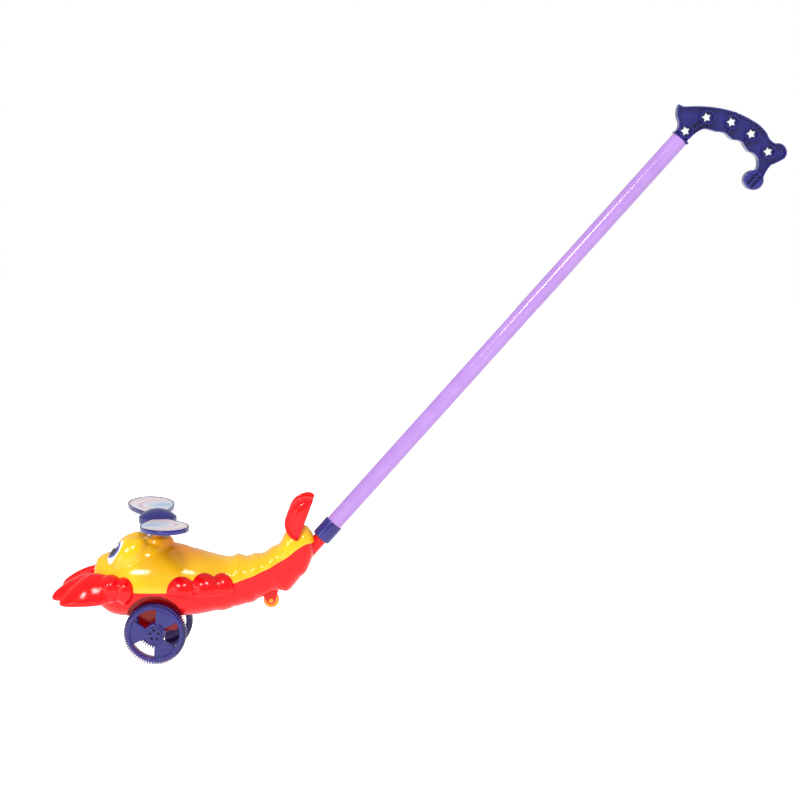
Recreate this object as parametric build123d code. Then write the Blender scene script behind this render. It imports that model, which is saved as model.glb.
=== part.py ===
from build123d import *
import os
from math import cos, pi, radians, sin, sqrt

os.makedirs("parts", exist_ok=True)

# A push-along lobster on two toothed wheels, steered by a long pole. Turning the
# wheels turns a crown gear and pinion inside the hull, which spin a rotor on top.
# Frame: the nose looks to -X, the handle lies to +X, the lobster's left is -Y.
# The origin is on the floor, midway between the wheels, under the axle.

# Wheels and axle
wheel_radius = 31.0
wheel_width = 14.0
wheel_mid_y = 32.0
wheel_tooth_count = 72
wheel_tooth_depth = 1.3
wheel_tooth_tip_share = 0.34
wheel_rim_wall = 4.7
wheel_spoke_count = 3
wheel_spoke_thickness = 3.0
wheel_spoke_recess = 1.6
wheel_window_angle = 62.0
wheel_hub_radius = 10.6
wheel_hub_cap_radius = 7.2
wheel_hub_cap_rise = 0.8
wheel_hub_hole_count = 5
wheel_hub_hole_pitch_radius = 4.2
wheel_hub_hole_radius = 1.5
wheel_hub_hole_depth = 3.0
wheel_window_gap = 0.9
wheel_window_turn = -3.0
axle_radius = 2.0
axle_end_cover = 4.2

# Gears inside the hull
gear_tooth_pitch = 2.83
crown_tooth_count = 12
crown_face_width = 2.4
crown_plate_thickness = 2.4
crown_hub_radius = 3.8
crown_hub_length = 3.0
pinion_tooth_count = 8
pinion_length = 10.0
tooth_addendum = 0.7
tooth_dedendum = 0.9
tooth_tip_share = 0.16
tooth_root_share = 0.46
shaft_radius = 1.5

# Fits
running_clearance = 0.06
press_clearance = 0.02
seam_clearance = 0.1
skin_clearance = 0.2
cut_overrun = 2.0

# Body shell: places are shares of these sizes
body_length = 224.0
body_nose_x = -65.5
body_width = 82.0
body_height = 92.0
body_bottom_z = 43.5
shell_wall = 2.0
shell_round_low = 1.65
shell_round_high = 1.90
shell_facet_count = 24

# Each row: place along the length, half width, underside, seam, top, all as shares.
# Along the tail the rows alternate between the crest of a segment and the groove behind it.
body_station_shares = [
    (0.000, 0.24, 0.266, 0.364, 0.462),
    (0.016, 0.46, 0.179, 0.342, 0.603),
    (0.047, 0.66, 0.087, 0.326, 0.668),
    (0.105, 0.84, 0.016, 0.315, 0.707),
    (0.203, 0.96, 0.000, 0.315, 0.772),
    (0.328, 1.00, 0.000, 0.315, 0.783),
    (0.462, 0.93, 0.016, 0.318, 0.728),
    (0.560, 0.83, 0.060, 0.321, 0.661),
    (0.620, 0.73, 0.092, 0.388, 0.640),
    (0.650, 0.74, 0.108, 0.408, 0.670),
    (0.688, 0.66, 0.146, 0.440, 0.645),
    (0.727, 0.68, 0.160, 0.476, 0.690),
    (0.766, 0.58, 0.216, 0.516, 0.682),
    (0.804, 0.61, 0.266, 0.562, 0.766),
    (0.837, 0.52, 0.276, 0.609, 0.790),
    (0.877, 0.54, 0.284, 0.668, 0.915),
    (0.922, 0.47, 0.390, 0.750, 0.972),
    (0.958, 0.43, 0.492, 0.801, 0.985),
    (0.984, 0.33, 0.608, 0.810, 0.918),
    (1.000, 0.17, 0.700, 0.810, 0.842),
]

# Wheel arches and gear housing
arch_side_gap = 1.0
arch_lift = 10.0
arch_wall = 1.6
housing_x = 2.0
housing_length = 38.5
housing_half_width = 21.0
housing_rise = 0.2
housing_front_round = 4.0
housing_wall = 1.6
gear_case_gap = 1.2
axle_boss_radius = 5.0
axle_boss_length = 3.0

# Gear bracket
bracket_post_spacing = 25.0
bracket_post_radius = 3.0
bracket_thickness = 2.5
bracket_width = 10.0
bracket_boss_radius = 4.0
bracket_end_margin = 3.0
small_screw_radius = 1.1
small_screw_head_radius = 2.2
small_screw_head_height = 1.5
small_screw_length = 9.0

# Shell screws
screw_radius = 1.4
screw_head_radius = 2.7
screw_head_height = 1.8
screw_length = 14.0
screw_post_wall = 1.7
screw_head_cover = 2.4
screw_place_shares = [(0.115, 0.0), (0.600, 0.36), (0.600, -0.36), (0.850, 0.0)]

# Tower and rotor
tower_top_share = 0.867
tower_foot_share = 0.484
tower_top_radius = 14.6
tower_foot_radius = 20.5
tower_edge_round = 2.5
bush_radius = 4.0
bush_flange_radius = 5.6
bush_flange_height = 1.5
bush_length = 6.0
rotor_length = 222.0
rotor_blade_width = 48.0
rotor_blade_root_width = 24.0
rotor_blade_thickness = 3.4
rotor_blade_wall = 1.5
rotor_blade_web = 1.0
rotor_blade_rise = 6.5
rotor_label_depth = 0.8
rotor_label_thickness = 0.4
rotor_lift = 13.7
rotor_hub_radius = 19.0
rotor_hub_skirt = 6.0
rotor_dome_rise = 8.5
rotor_dome_bands = 4
rotor_hub_wall = 1.6
rotor_sleeve_radius = 4.2
rotor_gap = 0.8
rotor_turn = 12.0

# Eyes
eye_bulge_place_shares = (0.172, 0.341, 0.648)
eye_bulge_height = 44.6
eye_bulge_radius = 17.0
eye_width = 17.0
eye_height = 25.0
eye_thickness = 0.5
eye_turn = 40.0
eye_tilt = 26.0
round_form_bands = 6
round_form_facets = 14

# Claws, arms and legs: place in the body, then length and radius of each form as shares.
# A claw finger's last two numbers are how far it dips and swings outwards, in degrees.
claw_size = 40.0
claw_finger_shares = [
    (0.082, 0.976, 0.385, 1.23, 0.375, 20.0, 6.0),
    (0.067, 0.839, 0.397, 1.35, 0.300, 18.0, 1.0),
]
claw_profile_shares = [
    (0.00, 0.30), (0.08, 0.66), (0.18, 0.92), (0.32, 1.00), (0.50, 0.91),
    (0.68, 0.68), (0.84, 0.42), (0.96, 0.18), (1.00, 0.07),
]
arm_size = 14.0
arm_shares = [(0.087, 0.805, 0.353, 2.40, 0.95), (0.152, 0.829, 0.345, 2.00, 0.95)]
leg_size = 15.0
leg_shares = [
    (0.405, 0.756, 0.375, 2.05, 1.03),
    (0.500, 0.732, 0.370, 2.10, 1.03),
    (0.580, 0.622, 0.372, 1.90, 0.96),
]
leg_ledge_drop = 2.2
leg_ledge_share = 0.46

# Tail fan: outline points are shares of its height, from the foot
fan_height = 44.0
fan_thickness = 4.5
fan_foot_place_shares = (0.919, 0.415, 0.845)
fan_rim = 2.6
fan_recess = 0.9
fan_slot_clearance = 0.15
fan_outline_shares = [
    (0.000, 0.000), (-0.256, 0.290), (-0.208, 0.617), (-0.080, 0.863), (0.188, 1.000),
    (0.306, 0.992), (0.385, 0.925), (0.237, 0.530), (0.088, 0.133), (0.048, 0.046),
]

# Tail roller
roller_radius = 7.8
roller_width = 8.0
roller_place_share = 0.8013
roller_gap = 1.4
roller_stub_radius = 2.3
lug_thickness = 2.4
lug_side_gap = 0.5
lug_foot_length = 18.0
lug_nose_radius = 4.4
lug_rise = 11.0

# Pole, collar and spigot
pole_angle = 48.24
pole_radius = 8.5
pole_wall = 1.4
pole_length = 531.2
collar_place_shares = (1.0554, 0.9315)
collar_radius = 9.8
collar_length = 20.5
collar_lip = 3.0
spigot_wall = 1.8
spigot_depth_in_hull = 26.0
spigot_depth_in_pole = 24.0

# Handle: outline points are shares of the handle size, along and across the pole
handle_size = 100.0
handle_thickness = 16.0
handle_rim = 2.6
handle_web = 3.0
handle_boss_radius = 7.0
handle_star_radius = 4.4
handle_star_waist_share = 0.5
handle_plug_length = 26.0
handle_plug_wall = 1.8
handle_boss_shares = [(0.090, -0.012), (0.325, 0.055), (0.452, 0.261), (0.501, 0.492), (0.478, 0.730)]
handle_arc_shares = [
    (0.000, -0.092), (0.060, -0.088), (0.118, -0.141), (0.170, -0.205), (0.236, -0.238),
    (0.244, -0.205), (0.262, -0.175), (0.385, -0.040), (0.491, 0.114), (0.562, 0.267),
    (0.602, 0.420), (0.612, 0.520), (0.598, 0.608), (0.582, 0.655), (0.584, 0.710),
    (0.628, 0.800), (0.561, 0.893), (0.476, 0.870), (0.398, 0.835), (0.330, 0.838),
    (0.265, 0.857), (0.200, 0.815), (0.255, 0.766), (0.331, 0.735), (0.368, 0.680),
    (0.370, 0.640), (0.354, 0.590), (0.358, 0.545), (0.377, 0.484), (0.368, 0.440),
    (0.337, 0.398), (0.330, 0.350), (0.332, 0.308), (0.312, 0.250), (0.283, 0.216),
    (0.258, 0.160), (0.226, 0.107), (0.150, 0.076), (0.060, 0.066), (0.020, 0.066),
    (0.000, 0.086),
]
handle_knob_shares = (0.182, 0.806)
handle_knob_radius = 9.8

def body_x(share):
    return body_nose_x + body_length * share


def body_z(share):
    return body_bottom_z + body_height * share


def body_place(side, x_share, y_share, z_share):
    return Pos(body_x(x_share), side * body_width / 2 * y_share, body_z(z_share))


# Values worked out from the sizes above
rotor_dome_radius = (rotor_hub_radius**2 + rotor_dome_rise**2) / (2 * rotor_dome_rise)
wheel_axis_z = wheel_radius
tower_top_z = body_z(tower_top_share)
tower_foot_z = body_z(tower_foot_share)
rotor_bottom_z = tower_top_z + rotor_lift
crown_pitch_radius = crown_tooth_count * gear_tooth_pitch / (2 * pi)
pinion_pitch_radius = pinion_tooth_count * gear_tooth_pitch / (2 * pi)
pinion_bottom_z = wheel_axis_z + crown_pitch_radius - crown_face_width / 2 - running_clearance
housing_bottom_z = wheel_axis_z + housing_rise
gear_case_radius = crown_pitch_radius + crown_face_width / 2 + gear_case_gap + housing_wall
bracket_bottom_z = pinion_bottom_z + pinion_length + rotor_gap
pole_way = Vector(cos(radians(pole_angle)), 0, sin(radians(pole_angle)))
collar_centre = Vector(body_x(collar_place_shares[0]), 0, body_z(collar_place_shares[1]))
pole_start = collar_centre - pole_way * (collar_length / 2 - collar_lip)
pole_end = pole_start + pole_way * pole_length
pole_bore_radius = pole_radius - pole_wall


def along_pole(start):
    """A plane whose normal runs up the pole from a start point."""
    return Plane(origin=start, x_dir=(0, 1, 0), z_dir=pole_way)


def rod(radius, length, plane):
    """A cylinder that starts on a plane and runs along its normal."""
    return plane * extrude(Circle(radius), length)


def y_plane(x, y, z, way=1):
    """An upright plane whose normal looks along +Y or -Y."""
    return Plane(origin=(x, y, z), x_dir=(1, 0, 0), z_dir=(0, way, 0))


def facet_reach(row, facet, inset):
    """How far one facet of a cross-section stands from the middle of the seam."""
    x_share, half_share, low_share, seam_share, high_share = row
    angle = 2 * pi * facet / shell_facet_count
    across = body_width / 2 * half_share * abs(cos(angle))
    if sin(angle) > 0:
        up = body_height * (high_share - seam_share) * sin(angle)
        bluntness = shell_round_high
    else:
        up = body_height * (low_share - seam_share) * sin(angle)
        bluntness = shell_round_low
    return (across**bluntness + up**bluntness) ** (1 / bluntness) - inset


def faceted_form(rings):
    """A solid in flat facets through rings of points, closed by the first and last ring."""
    faces = [Face(Wire.make_polygon(ring)) for ring in (rings[0], rings[-1])]
    for ring, following in zip(rings, rings[1:]):
        for index in range(len(ring)):
            before = index - 1
            corners = [ring[before], ring[index], following[index], following[before]]
            faces.append(Face(Wire.make_polygon(corners)))
    return Solid(Shell(faces))


def body_section(row, inset):
    """One cross-section of the body. Its facets face the same ways in every section."""
    step = 2 * pi / shell_facet_count
    points = []
    for facet in range(shell_facet_count):
        this, following = facet_reach(row, facet, inset), facet_reach(row, facet + 1, inset)
        start, stop = facet * step, (facet + 1) * step
        y = (this * sin(stop) - following * sin(start)) / sin(step)
        z = (following * cos(start) - this * cos(stop)) / sin(step)
        points.append((body_x(row[0]), y, body_z(row[3]) + z))
    return points


def body_loft(inset):
    """The body's form, drawn in by an inset. A hollow follows the grooves alone."""
    rows = body_station_shares[2::2] if inset > 0 else body_station_shares
    return faceted_form([body_section(row, inset) for row in rows])


def seam_cutter(shift):
    """Everything above the seam line, moved up by a shift."""
    xs = [(body_x(row[0]), body_z(row[3]) + shift) for row in body_station_shares]
    first, last = xs[0], xs[-1]
    start = (first[0] - body_width, first[1])
    stop = (last[0] + body_width, last[1])
    roof = body_bottom_z + 2 * body_height
    outline = [start] + xs + [stop, (stop[0], roof), (start[0], roof)]
    face = make_face(Polyline(*outline, close=True))
    return extrude(Plane.XZ * face, body_width, both=True)


def turned_form(points):
    """A turned shape about the X axis through (place, radius) points, in flat facets."""
    angles = [2 * pi * facet / round_form_facets for facet in range(round_form_facets)]
    return faceted_form([
        [(place, radius * cos(angle), radius * sin(angle)) for angle in angles] for place, radius in points])


def round_form(length, radius):
    """An egg shape about the X axis."""
    points = []
    for band in range(round_form_bands + 1):
        angle = pi * (band + 1) / (round_form_bands + 2)
        points.append((-length / 2 * cos(angle), radius * sin(angle)))
    return turned_form(points)


def toothed_outline(count, tip_radius, depth, tip_share, root_share):
    """A closed outline with straight-sided teeth round a circle."""
    points = []
    pitch = 2 * pi / count
    for tooth in range(count):
        middle = tooth * pitch
        for radius, offset in (
            (tip_radius - depth, -root_share / 2), (tip_radius, -tip_share / 2),
            (tip_radius, tip_share / 2), (tip_radius - depth, root_share / 2),
        ):
            angle = middle + offset * pitch
            points.append((radius * cos(angle), radius * sin(angle)))
    return make_face(Polyline(*points, close=True))


def grooved_outline():
    """The wheel's tread: flat-topped teeth with a V groove between neighbours."""
    points = []
    pitch = 2 * pi / wheel_tooth_count
    for tooth in range(wheel_tooth_count):
        for radius, offset in (
            (wheel_radius - wheel_tooth_depth, -0.5),
            (wheel_radius, -wheel_tooth_tip_share / 2),
            (wheel_radius, wheel_tooth_tip_share / 2),
        ):
            angle = (tooth + offset) * pitch
            points.append((radius * cos(angle), radius * sin(angle)))
    return make_face(Polyline(*points, close=True))


def sector(inner, outer, angle):
    """A window between two radii."""
    half = radians(angle / 2)
    points = [(radius * cos(a), radius * sin(a)) for radius, a in (
        (inner, -half), (outer, -half), (outer, 0), (outer, half), (inner, half), (inner, 0))]
    wire = Wire([
        Line(points[0], points[1]), ThreePointArc(points[1], points[2], points[3]),
        Line(points[3], points[4]), ThreePointArc(points[4], points[5], points[0])])
    return make_face(wire)


def make_wheel():
    """A toothed wheel on the Z axis, outer face at the top."""
    rim_inner = wheel_radius - wheel_tooth_depth - wheel_rim_wall
    wheel = extrude(grooved_outline(), wheel_width)
    spoke_top = wheel_width - wheel_spoke_recess
    ring = Circle(rim_inner) - Circle(wheel_hub_radius)
    wheel -= Pos(0, 0, spoke_top) * extrude(ring, cut_overrun + wheel_spoke_recess)
    wheel -= Pos(0, 0, -cut_overrun) * extrude(ring, spoke_top - wheel_spoke_thickness + cut_overrun)
    window = sector(wheel_hub_radius + wheel_window_gap, rim_inner - wheel_window_gap / 2, wheel_window_angle)
    for index in range(wheel_spoke_count):
        turn = Rot(0, 0, wheel_window_turn + 360 / wheel_spoke_count * index)
        wheel -= turn * extrude(window, 2 * wheel_width)
    wheel += Pos(0, 0, wheel_width - wheel_spoke_recess) * extrude(
        Circle(wheel_hub_cap_radius), wheel_hub_cap_rise + wheel_spoke_recess)
    hole = Pos(wheel_hub_hole_pitch_radius, 0) * RegularPolygon(wheel_hub_hole_radius, 3, rotation=180)
    top = wheel_width + wheel_hub_cap_rise
    for index in range(wheel_hub_hole_count):
        turn = Rot(0, 0, 90 + 360 / wheel_hub_hole_count * index)
        wheel -= turn * (Pos(0, 0, top - wheel_hub_hole_depth) * extrude(hole, wheel_hub_hole_depth + cut_overrun))
    bore_depth = wheel_width - axle_end_cover
    wheel -= Pos(0, 0, -cut_overrun) * extrude(Circle(axle_radius + press_clearance), bore_depth + cut_overrun)
    return wheel


def make_crown_gear():
    """A crown gear on the Z axis: its teeth point down, its hub points up."""
    inner = crown_pitch_radius - crown_face_width / 2
    outer = crown_pitch_radius + crown_face_width / 2
    plate = extrude(Circle(outer), crown_plate_thickness)
    hub = Pos(0, 0, crown_plate_thickness) * extrude(Circle(crown_hub_radius), crown_hub_length)
    gear = plate + hub
    depth = tooth_addendum + tooth_dedendum
    sink = crown_plate_thickness / 4
    faces = []
    for radius in (inner, outer * cos(pi / crown_tooth_count / 2)):
        pitch = 2 * pi * radius / crown_tooth_count
        root, tip = tooth_root_share * pitch / 2, tooth_tip_share * pitch / 2
        plane = Plane(origin=(radius, 0, 0), x_dir=(0, 1, 0), z_dir=(1, 0, 0))
        faces.append(plane * make_face(Polyline(
            (-root, sink), (root, sink), (root, 0), (tip, -depth), (-tip, -depth), (-root, 0), close=True)))
    tooth = loft(faces, ruled=True)
    for index in range(crown_tooth_count):
        gear += Rot(0, 0, 360 / crown_tooth_count * index) * tooth
    return gear - Pos(0, 0, -cut_overrun) * extrude(
        Circle(axle_radius + press_clearance), crown_plate_thickness + crown_hub_length + 2 * cut_overrun)


def make_pinion():
    outline = toothed_outline(
        pinion_tooth_count, pinion_pitch_radius + tooth_addendum, tooth_addendum + tooth_dedendum,
        tooth_tip_share, tooth_root_share)
    outline = Rot(0, 0, 180 / pinion_tooth_count + 90) * outline
    return extrude(outline - Circle(shaft_radius + press_clearance), pinion_length)


def screw(radius, length, head_radius, head_height):
    """A screw whose head sits on Z = 0 and whose shank points up."""
    shank = extrude(Circle(radius), length)
    head = Pos(0, 0, -head_height) * extrude(RegularPolygon(head_radius, 6), head_height)
    return head + shank


def wheel_place(side):
    return y_plane(0, side * (wheel_mid_y - wheel_width / 2), wheel_axis_z, side)


# Body: outer form, hollow and seam
outer_body = body_loft(0)
inner_body = body_loft(shell_wall)
skin_body = body_loft(-skin_clearance)
upper_space = seam_cutter(seam_clearance)
lower_space = seam_cutter(0)

# Eye bulges and rotor tower are part of the upper shell
def eye_bulge(side, grow):
    form = Rot(0, 90, 0) * round_form(eye_bulge_height + 2 * grow, eye_bulge_radius + grow)
    return body_place(side, *eye_bulge_place_shares) * form


tower_height = tower_top_z - tower_foot_z
tower = Pos(0, 0, tower_foot_z) * Cone(
    tower_foot_radius, tower_top_radius, tower_height, align=(Align.CENTER, Align.CENTER, Align.MIN))
tower = chamfer(tower.edges().sort_by(Axis.Z)[-1], tower_edge_round)
tower_hollow = Pos(0, 0, tower_foot_z - cut_overrun) * Cone(
    tower_foot_radius - shell_wall, tower_top_radius - shell_wall,
    tower_height - shell_wall + cut_overrun, align=(Align.CENTER, Align.CENTER, Align.MIN))

upper_form = outer_body & upper_space
upper_form = upper_form + tower + eye_bulge(1, 0) + eye_bulge(-1, 0)
upper_shell = upper_form - inner_body - tower_hollow
for side in (-1, 1):
    upper_shell -= eye_bulge(side, -shell_wall)

# Lower hull: shell, arches, housing
lower_form = outer_body - lower_space


arch_radius = sqrt(wheel_radius**2 - (body_z(0) - wheel_axis_z) ** 2) + arch_side_gap


def arch_space(side, grow, start_grow):
    start = housing_half_width - start_grow
    return rod(arch_radius + grow, body_width, y_plane(0, side * start, wheel_axis_z + arch_lift, side))


def housing_block(inset):
    """The box that holds the gears, with a round case below for the crown gear."""
    length = housing_length - 2 * inset
    half = housing_half_width - inset
    bottom = housing_bottom_z + inset
    top = body_z(0) + shell_wall + cut_overrun
    block = Pos(housing_x, 0, bottom) * Box(
        length, 2 * half, top - bottom, align=(Align.CENTER, Align.CENTER, Align.MIN))
    lower_edges = block.edges().filter_by(Axis.Y).sort_by(Axis.Z)[:2]
    block = fillet(lower_edges, housing_front_round - inset)
    return block + rod(gear_case_radius - inset, 2 * half, y_plane(0, -half, wheel_axis_z))


def row_z(share, column):
    """Height of one line of the body table at a share of the body's length."""
    rows = body_station_shares
    for before, after in zip(rows, rows[1:]):
        if share <= after[0]:
            part = (share - before[0]) / (after[0] - before[0])
            return body_z(before[column] + part * (after[column] - before[column]))
    return body_z(rows[-1][column])


def underside_z(share):
    return row_z(share, 2)


def seam_z(share):
    return row_z(share, 3)


def claw_finger(side, row):
    """A turned finger: blunt at its root, drawn out to the tip."""
    x, y, z, length, radius, dip, swing = row
    points = [(along * length * claw_size, out * radius * claw_size) for along, out in claw_profile_shares]
    turn = Rot(0, 0, 180 + side * swing) * Rot(0, dip, 0)
    return body_place(side, x, y, z) * turn * turned_form(points)


def side_bump(side, row, size):
    x, y, z, length, radius = row
    return body_place(side, x, y, z) * round_form(length * size, radius * size)


def above_ledge(form):
    """Keep the part of a leg that stands on its ledge."""
    room = Pos(0, 0, seam_z(leg_ledge_share) - leg_ledge_drop) * Box(
        2 * body_length, 2 * body_width, body_height, align=(Align.CENTER, Align.CENTER, Align.MIN))
    return form & room


# Lower hull: solid forms first, then the room for the upper shell and the hollow
lower_hull = lower_form
for side in (-1, 1):
    for row in leg_shares:
        lower_hull += above_ledge(side_bump(side, row, leg_size))
    for row in arm_shares:
        lower_hull += side_bump(side, row, arm_size)
    for row in claw_finger_shares:
        lower_hull += claw_finger(side, row)
lower_hull = lower_hull - (skin_body & seam_cutter(-seam_clearance / 2)) - inner_body
lower_hull += housing_block(0)
for side in (-1, 1):
    lower_hull += (arch_space(side, arch_wall, arch_wall) & lower_form)
lower_hull -= housing_block(housing_wall)
for side in (-1, 1):
    lower_hull -= arch_space(side, 0, 0)

# Axle bearings in the housing walls
for side in (-1, 1):
    boss = y_plane(0, side * (housing_half_width - housing_wall - axle_boss_length), wheel_axis_z, side)
    lower_hull += rod(axle_boss_radius, axle_boss_length + housing_wall / 2, boss)
axle_bore = y_plane(0, -body_width, wheel_axis_z, 1)
lower_hull -= rod(axle_radius + running_clearance, 2 * body_width, axle_bore)

# Posts for the gear bracket
bracket_post_x = bracket_post_spacing / 2
for end in (-1, 1):
    foot = Plane(origin=(end * bracket_post_x, 0, housing_bottom_z + housing_wall / 2))
    lower_hull += rod(bracket_post_radius, bracket_bottom_z - foot.origin.Z, foot)
    pilot = Plane(origin=(end * bracket_post_x, 0, bracket_bottom_z - small_screw_length))
    lower_hull -= rod(small_screw_radius + press_clearance, small_screw_length + cut_overrun, pilot)

# Posts for the screws that join the two shells
screw_post_radius = screw_head_radius + screw_post_wall
screw_grip = screw_length / 2


def screw_place(shares):
    x_share, y_share = shares
    return body_x(x_share), y_share * body_width / 2, seam_z(x_share)


for shares in screw_place_shares:
    x, y, z = screw_place(shares)
    post = rod(screw_post_radius, 2 * body_height, Plane(origin=(x, y, 0)))
    lower_hull += post & lower_form
    upper_shell += (rod(screw_radius + screw_post_wall, 2 * body_height, Plane(origin=(x, y, 0))) & upper_form)
for shares in screw_place_shares:
    x, y, z = screw_place(shares)
    seat = z - screw_grip
    lower_hull -= rod(screw_head_radius + running_clearance, seat, Plane(origin=(x, y, 0)))
    lower_hull -= rod(screw_radius + press_clearance, 2 * body_height, Plane(origin=(x, y, seat - cut_overrun)))
    upper_shell -= rod(screw_radius + press_clearance, screw_length - screw_grip + cut_overrun, Plane(origin=(x, y, z - cut_overrun)))

# Spigot for the pole
spigot_radius = pole_bore_radius - running_clearance
collar_foot = collar_centre - pole_way * collar_length / 2
spigot_root = collar_foot - pole_way * spigot_depth_in_hull
spigot_length = spigot_depth_in_hull + collar_lip + spigot_depth_in_pole
lower_hull += rod(spigot_radius, spigot_length, along_pole(spigot_root))
lower_hull -= rod(spigot_radius - spigot_wall, spigot_length + 2 * cut_overrun, along_pole(spigot_root - pole_way * cut_overrun))
upper_shell -= rod(spigot_radius + skin_clearance, spigot_length, along_pole(spigot_root))

# Lugs that carry the tail roller
roller_x = body_x(roller_place_share)
roller_z = underside_z(roller_place_share) - roller_gap - roller_radius
lug_inner_y = roller_width / 2 + lug_side_gap
lug_edges = [Circle(lug_nose_radius).edge()]
for reach in (-1, 1):
    lug_edges.append((Pos(reach * lug_foot_length / 2, lug_rise) * Circle(lug_nose_radius / 4)).edge())
lug_face = make_face(make_hull(lug_edges))
for side in (-1, 1):
    lug = Plane(origin=(roller_x, side * lug_inner_y, roller_z), x_dir=(1, 0, 0), z_dir=(0, -1, 0))
    lug_solid = extrude(lug * lug_face, -side * lug_thickness)
    lower_hull += lug_solid - inner_body
roller_axis = y_plane(roller_x, -body_width / 2, roller_z, 1)
lower_hull -= rod(roller_stub_radius + running_clearance, body_width, roller_axis)

# Rotor shaft bush at the top of the tower
upper_shell -= rod(bush_radius + press_clearance, body_height, Plane(origin=(0, 0, tower_top_z - shell_wall - cut_overrun)))

# Tail fan lobes stand in slots in the shell
fan_mid_y = fan_foot_place_shares[1] * body_width / 2


def fan_point(share):
    x_share, y_share, z_share = fan_foot_place_shares
    return body_x(x_share) + share[0] * fan_height, body_z(z_share) + share[1] * fan_height


def fan_face():
    p = [fan_point(share) for share in fan_outline_shares]
    return make_face(Wire([
        ThreePointArc(p[0], p[1], p[2]), ThreePointArc(p[2], p[3], p[4]), ThreePointArc(p[4], p[5], p[6]),
        ThreePointArc(p[6], p[7], p[8]), ThreePointArc(p[8], p[9], p[0])]))


def fan_lobe(side):
    start = fan_mid_y - fan_thickness / 2
    plane = Plane(origin=(0, side * start, 0), x_dir=(1, 0, 0), z_dir=(0, -1, 0))
    lobe = extrude(plane * fan_face(), -side * fan_thickness)
    face = Plane(origin=(0, side * (start + fan_thickness - fan_recess), 0), x_dir=(1, 0, 0), z_dir=(0, -1, 0))
    hollow = extrude(face * offset(fan_face(), -fan_rim), -side * (fan_recess + cut_overrun))
    return lobe - hollow


def fan_slot(side):
    start = fan_mid_y - fan_thickness / 2 - fan_slot_clearance
    plane = Plane(origin=(0, side * start, 0), x_dir=(1, 0, 0), z_dir=(0, -1, 0))
    return extrude(plane * offset(fan_face(), fan_slot_clearance), -side * (fan_thickness + 2 * fan_slot_clearance))


for side in (-1, 1):
    upper_shell -= fan_slot(side)

# Eyes: thin inlays that follow the bulges


def eye_inlay(side):
    turn, tilt = radians(eye_turn), radians(eye_tilt)
    look = Vector(-cos(turn) * cos(tilt), side * sin(turn) * cos(tilt), sin(tilt))
    centre = body_place(side, *eye_bulge_place_shares).position
    plane = Plane(origin=centre, x_dir=Vector(0, 0, 1).cross(look), z_dir=look)
    low, high, half = -eye_height / 2, eye_height / 2, eye_width / 2
    outline = make_face(Wire([
        Bezier((0, low), (half, low / 3), (half * 1.5, high), (0, high)),
        Bezier((0, high), (-half * 1.5, high), (-half, low / 3), (0, low))]))
    prism = extrude(plane * outline, eye_bulge_height)
    skin = eye_bulge(side, eye_thickness) - eye_bulge(side, press_clearance)
    return (skin & prism) - skin_body


# Rotor: blades on both sides of a domed hub, on a sleeve that holds the shaft
def blade_outline(inset):
    big = rotor_blade_width / 2
    tip = Pos(rotor_length / 2 - big, 0) * Circle(big - inset)
    root = Pos(rotor_hub_radius - rotor_hub_wall, 0) * Circle(rotor_blade_root_width / 2 - inset)
    return make_face(make_hull([tip.edge(), root.edge()]))


def make_rotor():
    """The rotor on the Z axis, blades along X, underside of the hub at Z = 0."""
    outline = [(0, 0), (rotor_hub_radius, 0)]
    for band in range(rotor_dome_bands + 1):
        radius = rotor_hub_radius * (1 - band / rotor_dome_bands)
        drop = rotor_dome_radius - sqrt(rotor_dome_radius**2 - radius**2)
        outline.append((radius, rotor_hub_skirt + rotor_dome_rise - drop))
    hub = revolve(Plane.XZ * make_face(Polyline(*outline, close=True)), Axis.Z, 360)
    inner = rotor_hub_radius - rotor_hub_wall
    hollow = Pos(0, 0, -cut_overrun) * extrude(Circle(inner), rotor_hub_skirt + cut_overrun)
    rotor = hub
    for index in range(2):
        turn = Rot(0, 0, 180 * index)
        blade = Pos(0, 0, rotor_blade_rise) * extrude(blade_outline(0), rotor_blade_thickness)
        top = Pos(0, 0, rotor_blade_rise + rotor_blade_thickness - rotor_label_depth)
        blade -= top * extrude(blade_outline(rotor_blade_wall), rotor_label_depth + cut_overrun)
        under = rotor_blade_thickness - rotor_label_depth - rotor_blade_web
        blade -= Pos(0, 0, rotor_blade_rise - cut_overrun) * extrude(blade_outline(rotor_blade_wall), under + cut_overrun)
        rotor += turn * blade
    rotor += hub
    rotor -= hollow
    sleeve_bottom = tower_top_z + bush_flange_height + rotor_gap - rotor_bottom_z
    sleeve = Pos(0, 0, sleeve_bottom) * extrude(Circle(rotor_sleeve_radius), rotor_hub_skirt + 1.0 - sleeve_bottom)
    rotor += sleeve
    return rotor - Pos(0, 0, sleeve_bottom - cut_overrun) * extrude(
        Circle(shaft_radius + press_clearance), rotor_hub_skirt - sleeve_bottom + cut_overrun)


def make_label():
    blade_top = rotor_blade_rise + rotor_blade_thickness
    face = blade_outline(rotor_blade_wall + running_clearance) - Circle(rotor_hub_radius + running_clearance)
    return Pos(0, 0, blade_top - rotor_label_depth + press_clearance) * extrude(face, rotor_label_thickness)


# Handle: an outline of arcs with a raised rim, a web and ring bosses
handle_plane = Plane(origin=pole_end + pole_way * press_clearance, x_dir=pole_way, z_dir=(0, 1, 0))


def handle_point(share):
    return share[0] * handle_size, share[1] * handle_size


def star_face():
    points = []
    for index in range(10):
        radius = handle_star_radius * (handle_star_waist_share if index % 2 else 1)
        angle = index * pi / 5
        points.append((radius * cos(angle), radius * sin(angle)))
    return make_face(Polyline(*points, close=True))


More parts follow.
